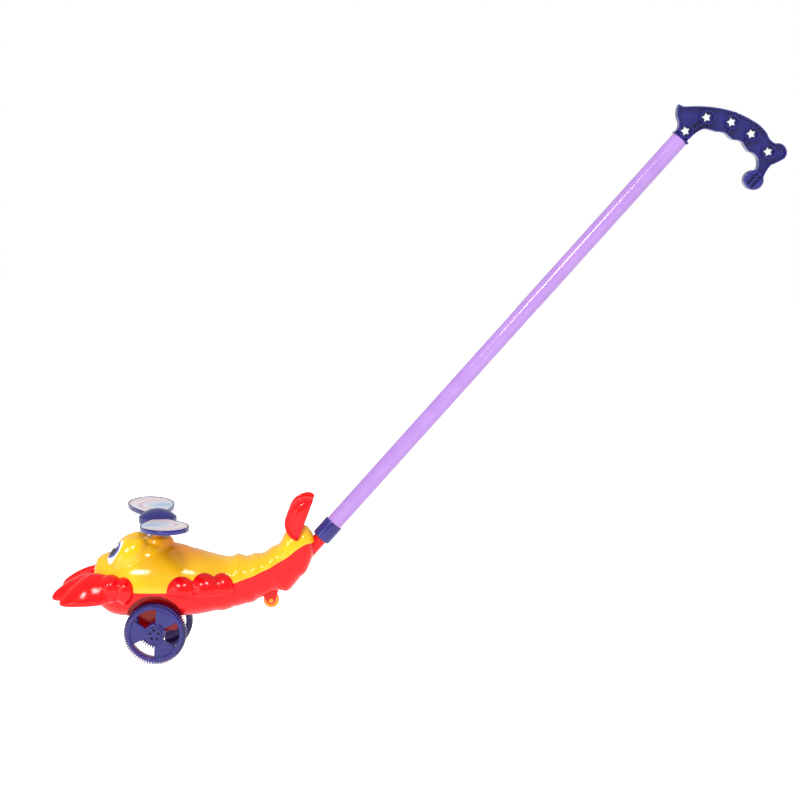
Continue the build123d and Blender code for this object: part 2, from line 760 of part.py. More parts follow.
def make_handle():
    points = [handle_point(share) for share in handle_arc_shares]
    edges = [ThreePointArc(points[i], points[i + 1], points[i + 2]) for i in range(0, len(points) - 2, 2)]
    edges.append(Line(points[-1], points[0]))
    outline = make_face(Wire(edges))
    knob = Pos(*handle_point(handle_knob_shares)) * Circle(handle_knob_radius)
    whole = outline + knob
    pocket = offset(outline, -handle_rim) - knob
    for share in handle_boss_shares:
        pocket -= Pos(*handle_point(share)) * Circle(handle_boss_radius)
    neck = Rectangle(2 * handle_rim, 2 * collar_radius)
    pocket -= neck
    half = handle_thickness / 2
    grip = extrude(whole, half, both=True)
    depth = half - handle_web / 2
    for side in (-1, 1):
        pocket_start = Pos(0, 0, side * handle_web / 2)
        grip -= pocket_start * extrude(pocket, side * (depth + cut_overrun))
    for share in handle_boss_shares:
        grip -= Pos(*handle_point(share)) * extrude(star_face(), handle_thickness, both=True)
    grip = handle_plane * grip
    plug_start = pole_end - pole_way * handle_plug_length
    plug = rod(pole_bore_radius - running_clearance, handle_plug_length + handle_rim, along_pole(plug_start))
    plug -= rod(pole_bore_radius - running_clearance - handle_plug_wall, handle_plug_length - handle_rim, along_pole(plug_start))
    return grip + plug


def make_collar():
    collar = rod(collar_radius, collar_length, along_pole(collar_foot))
    collar -= rod(pole_radius + press_clearance, collar_length, along_pole(pole_start))
    return collar - rod(spigot_radius + press_clearance, collar_length, along_pole(collar_foot))


def make_roller():
    half = lug_inner_y + lug_thickness + rotor_gap
    stub = rod(roller_stub_radius, 2 * half, y_plane(roller_x, -half, roller_z))
    wheel = rod(roller_radius, roller_width, y_plane(roller_x, -roller_width / 2, roller_z))
    wheel = chamfer(wheel.edges().filter_by(GeomType.CIRCLE), roller_width / 8)
    return wheel + stub


def make_bracket():
    length = bracket_post_spacing + 2 * bracket_end_margin
    plate = Pos(0, 0, bracket_bottom_z + press_clearance) * extrude(
        Rectangle(length, bracket_width), bracket_thickness)
    plate += Pos(0, 0, bracket_bottom_z + bracket_thickness) * extrude(Circle(bracket_boss_radius), bracket_thickness)
    plate -= Pos(0, 0, bracket_bottom_z - cut_overrun) * extrude(Circle(shaft_radius + running_clearance), body_height)
    for end in (-1, 1):
        plate -= Pos(end * bracket_post_x, 0, bracket_bottom_z - cut_overrun) * extrude(
            Circle(small_screw_radius + running_clearance), body_height)
    return plate


def make_bush():
    bush = Pos(0, 0, tower_top_z + press_clearance) * extrude(Circle(bush_flange_radius), bush_flange_height)
    bush += Pos(0, 0, tower_top_z + bush_flange_height - bush_length) * extrude(Circle(bush_radius), bush_length)
    return bush - Pos(0, 0, tower_top_z - bush_length) * extrude(Circle(shaft_radius + running_clearance), 2 * bush_length)


parts = {}
parts["lower_hull"] = lower_hull
parts["upper_shell"] = upper_shell
for side, name in ((-1, "left"), (1, "right")):
    parts["wheel_" + name] = wheel_place(side) * make_wheel()
    parts["tail_fan_" + name] = fan_lobe(side)
    parts["eye_" + name] = eye_inlay(side)

axle_half = wheel_mid_y + wheel_width / 2 - axle_end_cover - press_clearance
parts["wheel_axle"] = rod(axle_radius, 2 * axle_half, y_plane(0, -axle_half, wheel_axis_z))

crown_plane = Plane(origin=(0, pinion_pitch_radius + tooth_dedendum, wheel_axis_z), x_dir=(0, 0, 1), z_dir=(0, 1, 0))
parts["crown_gear"] = crown_plane * make_crown_gear()
parts["pinion"] = Pos(0, 0, pinion_bottom_z) * make_pinion()
shaft_bottom_z = wheel_axis_z + axle_radius + rotor_gap
shaft_top_z = rotor_bottom_z + rotor_hub_skirt - press_clearance
parts["rotor_shaft"] = rod(shaft_radius, shaft_top_z - shaft_bottom_z, Plane(origin=(0, 0, shaft_bottom_z)))
parts["shaft_bush"] = make_bush()
parts["gear_bracket"] = make_bracket()
small_screw = Rot(180, 0, 0) * screw(
    small_screw_radius, small_screw_length, small_screw_head_radius, small_screw_head_height)
small_seat = bracket_bottom_z + bracket_thickness + 2 * press_clearance
parts["bracket_screws"] = Compound([Pos(end * bracket_post_x, 0, small_seat) * small_screw for end in (-1, 1)])
shell_screw = screw(screw_radius, screw_length, screw_head_radius, screw_head_height)
parts["shell_screws"] = Compound([
    Pos(x, y, z - screw_grip - press_clearance) * shell_screw for x, y, z in map(screw_place, screw_place_shares)])
rotor_place = Pos(0, 0, rotor_bottom_z) * Rot(0, 0, rotor_turn - 90)
parts["rotor_blades"] = rotor_place * make_rotor()
parts["blade_label_left"] = rotor_place * make_label()
parts["blade_label_right"] = rotor_place * Rot(0, 0, 180) * make_label()
parts["pole_collar"] = make_collar()
pole = rod(pole_radius, pole_length, along_pole(pole_start))
parts["pole_tube"] = pole - rod(pole_bore_radius, pole_length, along_pole(pole_start))
parts["handle"] = make_handle()
parts["tail_roller"] = make_roller()

for name, shape in parts.items():
    export_step(shape, f"parts/{name}.step")
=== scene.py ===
import bpy
import bmesh
from math import asin, cos, pi, radians, sin, sqrt
from mathutils import Matrix, Vector
from mathutils.bvhtree import BVHTree


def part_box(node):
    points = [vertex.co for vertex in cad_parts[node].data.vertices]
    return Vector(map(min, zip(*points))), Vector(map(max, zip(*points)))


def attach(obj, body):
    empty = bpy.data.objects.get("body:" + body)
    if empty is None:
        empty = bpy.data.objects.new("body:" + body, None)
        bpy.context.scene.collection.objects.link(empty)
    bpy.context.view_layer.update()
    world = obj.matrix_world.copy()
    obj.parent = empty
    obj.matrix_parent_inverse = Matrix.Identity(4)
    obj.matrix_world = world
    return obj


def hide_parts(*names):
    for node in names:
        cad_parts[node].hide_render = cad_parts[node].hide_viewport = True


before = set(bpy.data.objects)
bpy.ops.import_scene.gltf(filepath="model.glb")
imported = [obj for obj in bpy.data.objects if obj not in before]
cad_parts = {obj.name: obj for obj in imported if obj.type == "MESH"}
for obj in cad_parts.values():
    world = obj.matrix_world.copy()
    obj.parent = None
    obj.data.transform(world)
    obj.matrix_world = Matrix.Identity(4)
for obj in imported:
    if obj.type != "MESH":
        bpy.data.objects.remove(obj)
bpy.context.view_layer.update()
scene = bpy.context.scene
mm = 0.001
origin = Vector((0, 0, 0))
upWay, sideWay = (0, 0, 1), (0, 1, 0)
sides = ((-1, "Left", "left"), (1, "Right", "right"))


# Small helpers for meshes

def rememberMesh(name, mesh):
    piece = bpy.data.objects.new(name, mesh)
    scene.collection.objects.link(piece)
    return piece


def meshPiece(name, points, faces):
    mesh = bpy.data.meshes.new(name)
    mesh.from_pydata([tuple(point) for point in points], [], faces)
    form = bmesh.new()
    form.from_mesh(mesh)
    bmesh.ops.remove_doubles(form, verts=form.verts, dist=1e-7)
    bmesh.ops.recalc_face_normals(form, faces=form.faces)
    form.to_mesh(mesh)
    form.free()
    return rememberMesh(name, mesh)


def throughRings(name, rings, closed=False):
    # quads between rings of points; the ends are capped unless the last ring meets the first
    count = len(rings[0])
    points = [point for ring in rings for point in ring]
    faces = []
    spans = len(rings) if closed else len(rings) - 1
    for ring in range(spans):
        here, following = ring * count, (ring + 1) % len(rings) * count
        for step in range(count):
            ahead = (step + 1) % count
            faces.append((here + step, here + ahead, following + ahead, following + step))
    if not closed:
        faces.append(tuple(range(count)))
        faces.append(tuple(range((len(rings) - 1) * count, len(rings) * count)))
    return meshPiece(name, points, faces)


def applied(piece):
    # the evaluated mesh in place of the modifiers
    graph = bpy.context.evaluated_depsgraph_get()
    mesh = bpy.data.meshes.new_from_object(piece.evaluated_get(graph))
    piece.modifiers.clear()
    old = piece.data
    piece.data = mesh
    if old.users == 0:
        bpy.data.meshes.remove(old)
    return piece


def combine(piece, others, how):
    # DIFFERENCE, UNION or INTERSECT with each of the others, which are used up
    for other in others:
        step = piece.modifiers.new("combine", "BOOLEAN")
        step.solver = "MANIFOLD"
        step.operation = how
        step.object = other
        applied(piece)
        bpy.data.objects.remove(other)
    return piece


def joined(name, pieces):
    # one mesh from several pieces, which are used up
    form = bmesh.new()
    for piece in pieces:
        mesh = piece.data
        mesh.transform(piece.matrix_world)
        form.from_mesh(mesh)
        bpy.data.objects.remove(piece)
    mesh = bpy.data.meshes.new(name)
    form.to_mesh(mesh)
    form.free()
    return rememberMesh(name, mesh)


def softened(piece, voxel, smoothing):
    # melts what overlaps into one skin and rounds its creases
    melt = piece.modifiers.new("melt", "REMESH")
    melt.mode = "VOXEL"
    melt.voxel_size = voxel
    settle = piece.modifiers.new("settle", "SMOOTH")
    settle.factor = 0.5
    settle.iterations = smoothing
    return applied(piece)


def smoothShaded(piece, angle=35):
    # smooth faces, with the edges sharper than an angle kept crisp
    form = bmesh.new()
    form.from_mesh(piece.data)
    for face in form.faces:
        face.smooth = True
    for edge in form.edges:
        edge.smooth = edge.calc_face_angle(0) < radians(angle)
    form.to_mesh(piece.data)
    form.free()
    return piece


def bevelled(piece, width, angle=38, segments=2):
    rim = piece.modifiers.new("rim", "BEVEL")
    rim.width = width
    rim.segments = segments
    rim.limit_method = "ANGLE"
    rim.angle_limit = radians(angle)
    rim.use_clamp_overlap = True
    return applied(piece)


def copyOf(node, name):
    # a cleaned copy of a CAD node's mesh, with its flat faces whole again
    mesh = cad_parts[node].data.copy()
    form = bmesh.new()
    form.from_mesh(mesh)
    bmesh.ops.remove_doubles(form, verts=form.verts, dist=2e-6)
    bmesh.ops.dissolve_limit(form, angle_limit=radians(1.0), verts=form.verts, edges=form.edges)
    form.to_mesh(mesh)
    form.free()
    piece = rememberMesh(name, mesh)
    piece.data.materials.clear()
    return piece


def finish(piece, material, body, slot, *nodes):
    piece.data.materials.clear()
    piece.data.materials.append(material)
    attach(piece, body)
    if nodes:
        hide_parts(*nodes)
    return piece


def axisMatrix(place, along, start=(1, 0, 0)):
    # turns Z to a direction and X as near as can be to a start direction
    zWay = Vector(along).normalized()
    yWay = zWay.cross(Vector(start)).normalized()
    xWay = yWay.cross(zWay)
    turn = Matrix((xWay, yWay, zWay)).transposed().to_4x4()
    return Matrix.Translation(place) @ turn


def lathed(name, profile, place, along, start=(1, 0, 0), steps=96):
    # turns a (radius, height) profile in millimetres, which runs from axis to axis or round a hollow piece
    matrix = axisMatrix(place, along, start)
    turns = [2 * pi * step / steps for step in range(steps)]

    def around(angle, part):
        across, up = cos(angle), sin(angle)
        return [
            matrix @ Vector((radius * mm * across, radius * mm * up, height * mm)) for radius, height in part]

    if profile[0][0] != 0 or profile[-1][0] != 0:
        return throughRings(name, [around(angle, profile) for angle in turns], closed=True)
    middle = profile[1:-1]
    points = [matrix @ Vector((0, 0, height * mm)) for radius, height in (profile[0], profile[-1])]
    for angle in turns:
        points += around(angle, middle)
    faces = []
    count = len(middle)
    for step in range(steps):
        this, following = 2 + step * count, 2 + (step + 1) % steps * count
        faces.append((0, this, following))
        faces.append((1, following + count - 1, this + count - 1))
        for row in range(count - 1):
            faces.append((this + row, this + row + 1, following + row + 1, following + row))
    return meshPiece(name, points, faces)


def rod(name, radius, low, high, place, along, start=(1, 0, 0), steps=96):
    return lathed(name, [(0, low), (radius, low), (radius, high), (0, high)], place, along, start, steps)


def upright(name, outline, low, high):
    # an outline of (x, y) points in millimetres, drawn out along Z
    return throughRings(name, [[Vector((x, y, z)) * mm for x, y in outline] for z in (low, high)])


def roundedCorner(radius, height, size, quarter, steps=4):
    # points round a corner of a lathe profile; quarter 0 turns from the side to the top
    points = []
    for step in range(steps + 1):
        angle = pi / 2 * (quarter + step / steps)
        points.append((radius + size * cos(angle), height + size * sin(angle)))
    return points


def roundedSide(outer, low, high, edge):
    # the outer side of a lathe profile with both its corners rounded
    below = roundedCorner(outer - edge, low + edge, edge, 3)
    return below + roundedCorner(outer - edge, high - edge, edge, 0)


# Colours and moulded plastic

def colour(red, green, blue):
    # from the 0 to 255 of a picture to the linear values that the nodes take
    values = []
    for value in (red, green, blue):
        share = value / 255
        values.append(share / 12.92 if share < 0.04045 else ((share + 0.055) / 1.055) ** 2.4)
    return (*values, 1)


def addNode(tree, kind, **settings):
    node = tree.nodes.new(kind)
    for key, value in settings.items():
        setattr(node, key, value)
    return node


def objectNoise(tree, coordinates, scale, detail=3.0, roughness=0.5):
    noise = addNode(tree, "ShaderNodeTexNoise")
    noise.inputs["Scale"].default_value = scale
    noise.inputs["Detail"].default_value = detail
    noise.inputs["Roughness"].default_value = roughness
    tree.links.new(coordinates.outputs["Object"], noise.inputs["Vector"])
    return noise


def remap(tree, source, low, high, fromLow=0.0, fromHigh=1.0):
    node = addNode(tree, "ShaderNodeMapRange")
    node.inputs["From Min"].default_value = fromLow
    node.inputs["From Max"].default_value = fromHigh
    node.inputs["To Min"].default_value = low
    node.inputs["To Max"].default_value = high
    tree.links.new(source, node.inputs["Value"])
    return node.outputs["Result"]


def mixColour(tree, factor, first, second):
    node = addNode(tree, "ShaderNodeMix", data_type="RGBA")
    tree.links.new(factor, node.inputs["Factor"])
    for socket, value in (("A", first), ("B", second)):
        target = [item for item in node.inputs if item.name == socket and item.type == "RGBA"][0]
        if isinstance(value, tuple):
            target.default_value = value
        else:
            tree.links.new(value, target)
    return [item for item in node.outputs if item.type == "RGBA"][0]


def addBump(tree, height, strength, distance):
    bump = addNode(tree, "ShaderNodeBump")
    bump.inputs["Strength"].default_value = strength
    bump.inputs["Distance"].default_value = distance
    tree.links.new(height, bump.inputs["Height"])
    return bump


def mouldedPlastic(name, main, deep, gloss=0.13, grain=0.00003, coat=0.1, shine=0.5):
    # glossy moulded plastic: a slow mottle in the colour, sink marks and a fine grain in the skin
    material = bpy.data.materials.new(name)
    material.use_nodes = True
    tree = material.node_tree
    shader = tree.nodes["Principled BSDF"]
    coordinates = addNode(tree, "ShaderNodeTexCoord")
    mottle = objectNoise(tree, coordinates, 38.0)
    shade = mixColour(tree, remap(tree, mottle.outputs["Fac"], 0.0, 1.0, 0.35, 0.7), main, deep)
    tree.links.new(shade, shader.inputs["Base Color"])
    wear = objectNoise(tree, coordinates, 160.0, 4.0)
    tree.links.new(remap(tree, wear.outputs["Fac"], gloss - 0.05, gloss + 0.08), shader.inputs["Roughness"])
    sink = objectNoise(tree, coordinates, 55.0, 1.0)
    fine = objectNoise(tree, coordinates, 1400.0, 2.0)
    sinkBump = addBump(tree, sink.outputs["Fac"], 0.35, 0.0004)
    fineBump = addBump(tree, fine.outputs["Fac"], 0.25, grain)
    tree.links.new(sinkBump.outputs["Normal"], fineBump.inputs["Normal"])
    tree.links.new(fineBump.outputs["Normal"], shader.inputs["Normal"])
    shader.inputs["Coat Weight"].default_value = coat
    shader.inputs["Coat Roughness"].default_value = 0.12
    shader.inputs["IOR"].default_value = 1.5
    shader.inputs["Specular IOR Level"].default_value = shine
    return material


def drawnSteel(name, main, scratch):
    # drawn rod and plated screws: bright metal with fine lines
    material = mouldedPlastic(name, main, scratch, gloss=0.3, grain=0.00002, coat=0.0)
    material.node_tree.nodes["Principled BSDF"].inputs["Metallic"].default_value = 1.0
    return material


redPlastic = mouldedPlastic("redPlastic", colour(234, 5, 12), colour(222, 3, 9), shine=0.3)
violetPlastic = mouldedPlastic("violetPlastic", colour(40, 37, 124), colour(32, 29, 106), gloss=0.2)
lilacPlastic = mouldedPlastic("lilacPlastic", colour(176, 136, 208), colour(168, 126, 202), gloss=0.1)
orangePlastic = mouldedPlastic("orangePlastic", colour(250, 158, 20), colour(244, 146, 14))
gearPlastic = mouldedPlastic("gearPlastic", colour(232, 230, 224), colour(220, 218, 208), gloss=0.4, coat=0.0)
axleSteel = drawnSteel("axleSteel", colour(196, 197, 200), colour(176, 177, 182))
screwSteel = drawnSteel("screwSteel", colour(205, 204, 196), colour(182, 180, 170))


def colouring(material):
    # the tree, its shader, what colours it now and its texture coordinates
    tree = material.node_tree
    shader = tree.nodes["Principled BSDF"]
    coordinates = [node for node in tree.nodes if node.bl_idname == "ShaderNodeTexCoord"][0]
    return tree, shader, shader.inputs["Base Color"].links[0].from_socket, coordinates


def softBall(tree, coordinates, place, scale, turn=(0, 0, 0)):
    # 1 at a place and 0 from a distance of the scale on
    spot = addNode(tree, "ShaderNodeMapping", vector_type="TEXTURE")
    spot.inputs["Location"].default_value = place
    spot.inputs["Rotation"].default_value = turn
    spot.inputs["Scale"].default_value = scale
    ball = addNode(tree, "ShaderNodeTexGradient", gradient_type="SPHERICAL")
    tree.links.new(coordinates.outputs["Object"], spot.inputs["Vector"])
    tree.links.new(spot.outputs["Vector"], ball.inputs["Vector"])
    return ball.outputs["Fac"]


columnTint = dict(place=(0.024, 0.0, 0.120), scale=(0.042, 0.046, 0.034), full=0.8, share=0.72)


def yellowShellPlastic(name):
    # yellow that turns to orange round the column under the rotor
    material = mouldedPlastic(name, colour(254, 194, 10), colour(250, 184, 6))
    tree, shader, plain, coordinates = colouring(material)
    tint = columnTint
    ball = softBall(tree, coordinates, tint["place"], tint["scale"])
    share = remap(tree, ball, 0.0, tint["full"], 0.0, tint["share"])
    tinted = mixColour(tree, share, plain, colour(255, 134, 8))
    tree.links.new(tinted, shader.inputs["Base Color"])
    return material


yellowPlastic = yellowShellPlastic("yellowPlastic")
print("materials ready")


# Body: a table of stations along it, joined by a smooth curve

bodySize = dict(
    length=224.0, noseX=-65.5, width=82.0, height=92.0, bottomZ=43.5, wall=2.0,
    roundLow=2.54, roundHigh=2.11, noseRound=4.0, slices=230, steps=96, seamGap=0.15, skinGap=0.3,
    scallopDepth=1.7)
scallops = (60.0, 78.0, 101.0, 122.0, 144.0, 154.7)  # where the rounds under the tail meet, along X

# place along the length, half width, underside, seam and top, as shares
bodyStations = [
    (0.000, 0.24, 0.266, 0.364, 0.462), (0.016, 0.46, 0.179, 0.342, 0.603),
    (0.047, 0.66, 0.087, 0.326, 0.668), (0.105, 0.84, 0.016, 0.315, 0.707),
    (0.203, 0.96, 0.000, 0.315, 0.772), (0.328, 1.00, 0.000, 0.315, 0.783),
    (0.462, 0.93, 0.016, 0.318, 0.728), (0.560, 0.83, 0.060, 0.321, 0.661),
    (0.620, 0.73, 0.092, 0.388, 0.640), (0.650, 0.74, 0.108, 0.408, 0.670),
    (0.688, 0.66, 0.146, 0.440, 0.645), (0.727, 0.68, 0.160, 0.476, 0.674),
    (0.766, 0.58, 0.216, 0.516, 0.682), (0.804, 0.61, 0.266, 0.562, 0.748),
    (0.837, 0.52, 0.276, 0.609, 0.790), (0.877, 0.54, 0.284, 0.668, 0.955),
    (0.922, 0.47, 0.390, 0.750, 0.972), (0.958, 0.43, 0.492, 0.801, 0.985),
    (0.984, 0.33, 0.608, 0.810, 0.918), (1.000, 0.17, 0.700, 0.810, 0.842),
]


def bodyX(share):
    return bodySize["noseX"] + bodySize["length"] * share


def bodyZ(share):
    return bodySize["bottomZ"] + bodySize["height"] * share


def bodyPlace(side, xShare, yShare, zShare):
    return Vector((bodyX(xShare), side * bodySize["width"] / 2 * yShare, bodyZ(zShare))) * mm


def stationValue(share, column, rows=bodyStations):
    # a smooth curve through one column of the station table
    last = len(rows) - 1
    index = 0
    while index < last - 1 and share > rows[index + 1][0]:
        index += 1
    before, after = rows[index], rows[index + 1]
    span = after[0] - before[0]

    def slope(row):
        if row == 0 or row == last:
            edge = min(row, last - 1)
            return (rows[edge + 1][column] - rows[edge][column]) / (rows[edge + 1][0] - rows[edge][0])
        return (rows[row + 1][column] - rows[row - 1][column]) / (rows[row + 1][0] - rows[row - 1][0])

    part = (share - before[0]) / span
    first, second = slope(index) * span, slope(index + 1) * span
    cube, square = part**3, part**2
    return (
        (2 * cube - 3 * square + 1) * before[column] + (cube - 2 * square + part) * first
        + (3 * square - 2 * cube) * after[column] + (cube - square) * second)


def bodySection(share, inset):
    # a blunt oval about the seam, drawn in near the two ends so that they are round
    size = bodySize
    x = bodyX(share)
    nearEnd = min(share, 1 - share) * size["length"]
    swell = 1.0
    if nearEnd < size["noseRound"]:
        swell = sqrt(max(1 - (1 - nearEnd / size["noseRound"]) ** 2, 0.02))
    half = stationValue(share, 1) * size["width"] / 2 * swell
    seam = bodyZ(stationValue(share, 3))
    low = (seam - bodyZ(stationValue(share, 2))) * swell
    for first, last in zip(scallops, scallops[1:]):
        if first < x < last:
            low += size["scallopDepth"] * sin(pi * (x - first) / (last - first))
    high = (bodyZ(stationValue(share, 4)) - seam) * swell
    ring = []
    for step in range(size["steps"]):
        angle = 2 * pi * step / size["steps"]
        across, up = cos(angle), sin(angle)
        power = 2 / (size["roundHigh"] if up > 0 else size["roundLow"])
        reach = high if up > 0 else low
        y = max(half - inset, 0.5) * (abs(across) ** power) * (1 if across > 0 else -1)
        z = max(reach - inset, 0.5) * (abs(up) ** power) * (1 if up > 0 else -1)
        ring.append(Vector((x, y, seam + z)) * mm)
    return ring


def bodyForm(name, inset, start=0.0, stop=1.0):
    slices = bodySize["slices"]
    shares = [start + (stop - start) * index / slices for index in range(slices + 1)]
    return throughRings(name, [bodySection(share, inset) for share in shares])


def seamBlock(name, shift, above):
    # everything above or below the seam, moved up by a shift
    size = bodySize
    shares = [index / 120 for index in range(121)]
    line = [(bodyX(share), bodyZ(stationValue(share, 3)) + shift) for share in shares]
    far = size["bottomZ"] + (2 if above else -1) * size["height"]
    outline = [(line[0][0] - size["width"], line[0][1])] + line + [(line[-1][0] + size["width"], line[-1][1])]
    wide = size["width"] * mm
    rings = []
    for x, z in outline:
        corners = ((-wide, z), (wide, z), (wide, far), (-wide, far))
        rings.append([Vector((x * mm, y, height * mm)) for y, height in corners])
    return throughRings(name, rings)


def roundForm(name, place, length, radius, bands=40, steps=64):
    # an egg about the X axis
    rings = []
    for band in range(1, bands):
        angle = pi * band / bands
        along = -length / 2 * cos(angle)
        around = radius * sin(angle)
        ring = []
        for step in range(steps):
            turn = 2 * pi * step / steps
            ring.append(place + Vector((along, around * cos(turn), around * sin(turn))) * mm)
        rings.append(ring)
    return throughRings(name, rings)


towerSize = dict(topZ=123.3, footZ=86.0, topRadius=15.6, footRadius=31.0, edge=4.5)
eyeBulge = dict(place=(0.163, 0.341, 0.648), halves=(20.0, 17.0, 22.3), lean=0.35)
headForms = [  # place, half length, half width and half height of what fills the head, in mm
    ((-13.0, 0.0, 101.5), (27.0, 27.0, 20.0)), ((8.0, 0.0, 97.0), (38.0, 27.0, 20.0)),
    ((-5.0, 0.0, 103.0), (20.0, 27.0, 18.5))]
shellSize = dict(
    voxel=1.0, smoothing=9, innerVoxel=1.6, innerSmoothing=3, bushHole=4.05, spigotGap=0.3, fanGap=0.25)


def towerForm(name, inset):
    size = towerSize
    top = size["topZ"] - inset
    edge = size["edge"]
    profile = [(0, size["footZ"] - inset), (size["footRadius"] - inset, size["footZ"] - inset)]
    profile += roundedCorner(size["topRadius"] - inset - edge, top - edge, edge, 0)
    profile += [(0, top)]
    return lathed(name, profile, origin, upWay)


def headForm(place, halves, inset):
    form = roundForm("head", origin, 2, 1)
    size = Matrix.Diagonal([half - inset for half in halves]).to_4x4()
    form.data.transform(Matrix.Translation(Vector(place) * mm) @ size)
    return form


def bulgeForm(side, inset):
    size = eyeBulge
    bulge = headForm((0, 0, 0), size["halves"], inset)
    for point in bulge.data.vertices:
        point.co.x += point.co.z * size["lean"]
    bulge.data.transform(Matrix.Translation(bodyPlace(side, *size["place"])))
    return bulge


# Pole line, taken from the CAD tube

poleSize = dict(angle=48.24, radius=8.5, wall=1.4, length=531.2)
poleWay = Vector((cos(radians(poleSize["angle"])), 0, sin(radians(poleSize["angle"]))))
poleLow, poleHigh = (Vector(corner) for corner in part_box("pole_tube"))
poleMiddle = (poleLow + poleHigh) / 2
poleStart = poleMiddle - poleWay * poleSize["length"] / 2 * mm
collarLow, collarHigh = (Vector(corner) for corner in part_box("pole_collar"))
collarMiddle = (collarLow + collarHigh) / 2
collarSize = dict(radius=9.8, length=20.5, lip=3.0, edge=0.9)
collarFoot = collarMiddle - poleWay * collarSize["length"] / 2 * mm
spigotSize = dict(radius=7.04, wall=1.8, inHull=26.0, inPole=24.0)


def spigotRod(name, radius, extra):
    length = spigotSize["inHull"] + collarSize["lip"] + spigotSize["inPole"]
    foot = collarFoot - poleWay * (spigotSize["inHull"] + extra) * mm
    return rod(name, radius, 0, length + 2 * extra, foot, poleWay, sideWay, 64)


# Upper shell: body, column and eye bulges melted together, cut at the seam and hollowed

def shellForms(name, inset):
    forms = [bodyForm("form", inset), towerForm("column", inset), bulgeForm(-1, inset), bulgeForm(1, inset)]
    return joined(name, forms + [headForm(place, halves, inset) for place, halves in headForms])


def makeUpperShell():
    size = shellSize
    shell = softened(shellForms("upperShell", 0), size["voxel"] * mm, size["smoothing"])
    combine(shell, [seamBlock("above", bodySize["seamGap"], True)], "INTERSECT")
    inside = softened(shellForms("inside", bodySize["wall"]), size["innerVoxel"] * mm, size["innerSmoothing"])
    combine(shell, [inside], "DIFFERENCE")
    hole = rod("hole", size["bushHole"], 100, 130, origin, upWay, steps=48)
    combine(shell, [hole, spigotRod("rod", spigotSize["radius"] + size["spigotGap"], 0)], "DIFFERENCE")
    for node in ("tail_fan_left", "tail_fan_right"):
        slot = copyOf(node, "slot")
        grow = slot.modifiers.new("grow", "DISPLACE")
        grow.strength = size["fanGap"] * mm
        grow.mid_level = 0
        applied(slot)
        combine(shell, [slot], "DIFFERENCE")
    return smoothShaded(shell, 40)


upperShell = finish(makeUpperShell(), yellowPlastic, "body", "yellow_plastic", "upper_shell")
print("upper shell", len(upperShell.data.polygons))


# Lower hull: skin, wheel arches, gear housing, lugs for the roller and the spigot

hullSize = dict(
    axleZ=31.0, axleHole=2.06, archRadius=29.41, archLift=10.0, archWall=1.6, archReach=70.0,
    housingX=2.0, housingLength=38.5, housingHalf=21.0, housingBottom=31.2, housingRound=4.0, housingWall=1.6,
    caseRadius=9.4, bossRadius=5.0, bossLength=3.0, seamGap=-0.05, hollow=(0.03, 0.97),
    lugThickness=2.4, lugInner=4.5, lugFront=13.0, lugRear=8.0, lugNose=3.7, lugRise=12.0, lugFlank=25.0,
    stubHole=2.36)


def flatPrism(name, outline, start, stop):
    # an outline of (x, z) points in millimetres, drawn out along Y
    rings = [[Vector((x, y, z)) * mm for x, z in outline] for y in (start, stop)]
    return throughRings(name, rings)


def housingForm(name, inset):
    size = hullSize
    half = size["housingLength"] / 2 - inset
    wide = size["housingHalf"] - inset
    low = size["housingBottom"] + inset
    top = bodyZ(0) + 4
    edge = size["housingRound"] - inset
    right = roundedCorner(half - edge, low + edge, edge, 3)
    left = roundedCorner(-half + edge, low + edge, edge, 2)
    outline = [(-half, top)] + left + right + [(half, top)]
    outline = [(x + size["housingX"], z) for x, z in outline]
    block = flatPrism(name, outline, -wide, wide)
    case = rod("case", size["caseRadius"] - inset, -wide, wide, Vector((0, 0, size["axleZ"])) * mm, sideWay)
    return combine(block, [case], "UNION")


def archForm(name, side, grow):
    size = hullSize
    start = size["housingHalf"] - grow
    radius = size["archRadius"] + grow
    middle = Vector((0, 0, size["axleZ"] + size["archLift"])) * mm
    return rod(name, radius, start, size["archReach"], middle, (0, side, 0), steps=128)


def lugOutline():
    # the round nose below and the wide foot above, joined by straight flanks
    size = hullSize
    low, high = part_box("tail_roller")
    x, z = (low[0] + high[0]) / 2 / mm, (low[2] + high[2]) / 2 / mm
    angle = radians(size["lugFlank"])
    nose = [(x + size["lugNose"] * cos(turn), z + size["lugNose"] * sin(turn)) for turn in
        [pi + angle + (pi - 2 * angle) * step / 24 for step in range(25)]]
    return nose + [(x + size["lugRear"], z + size["lugRise"]), (x - size["lugFront"], z + size["lugRise"])]


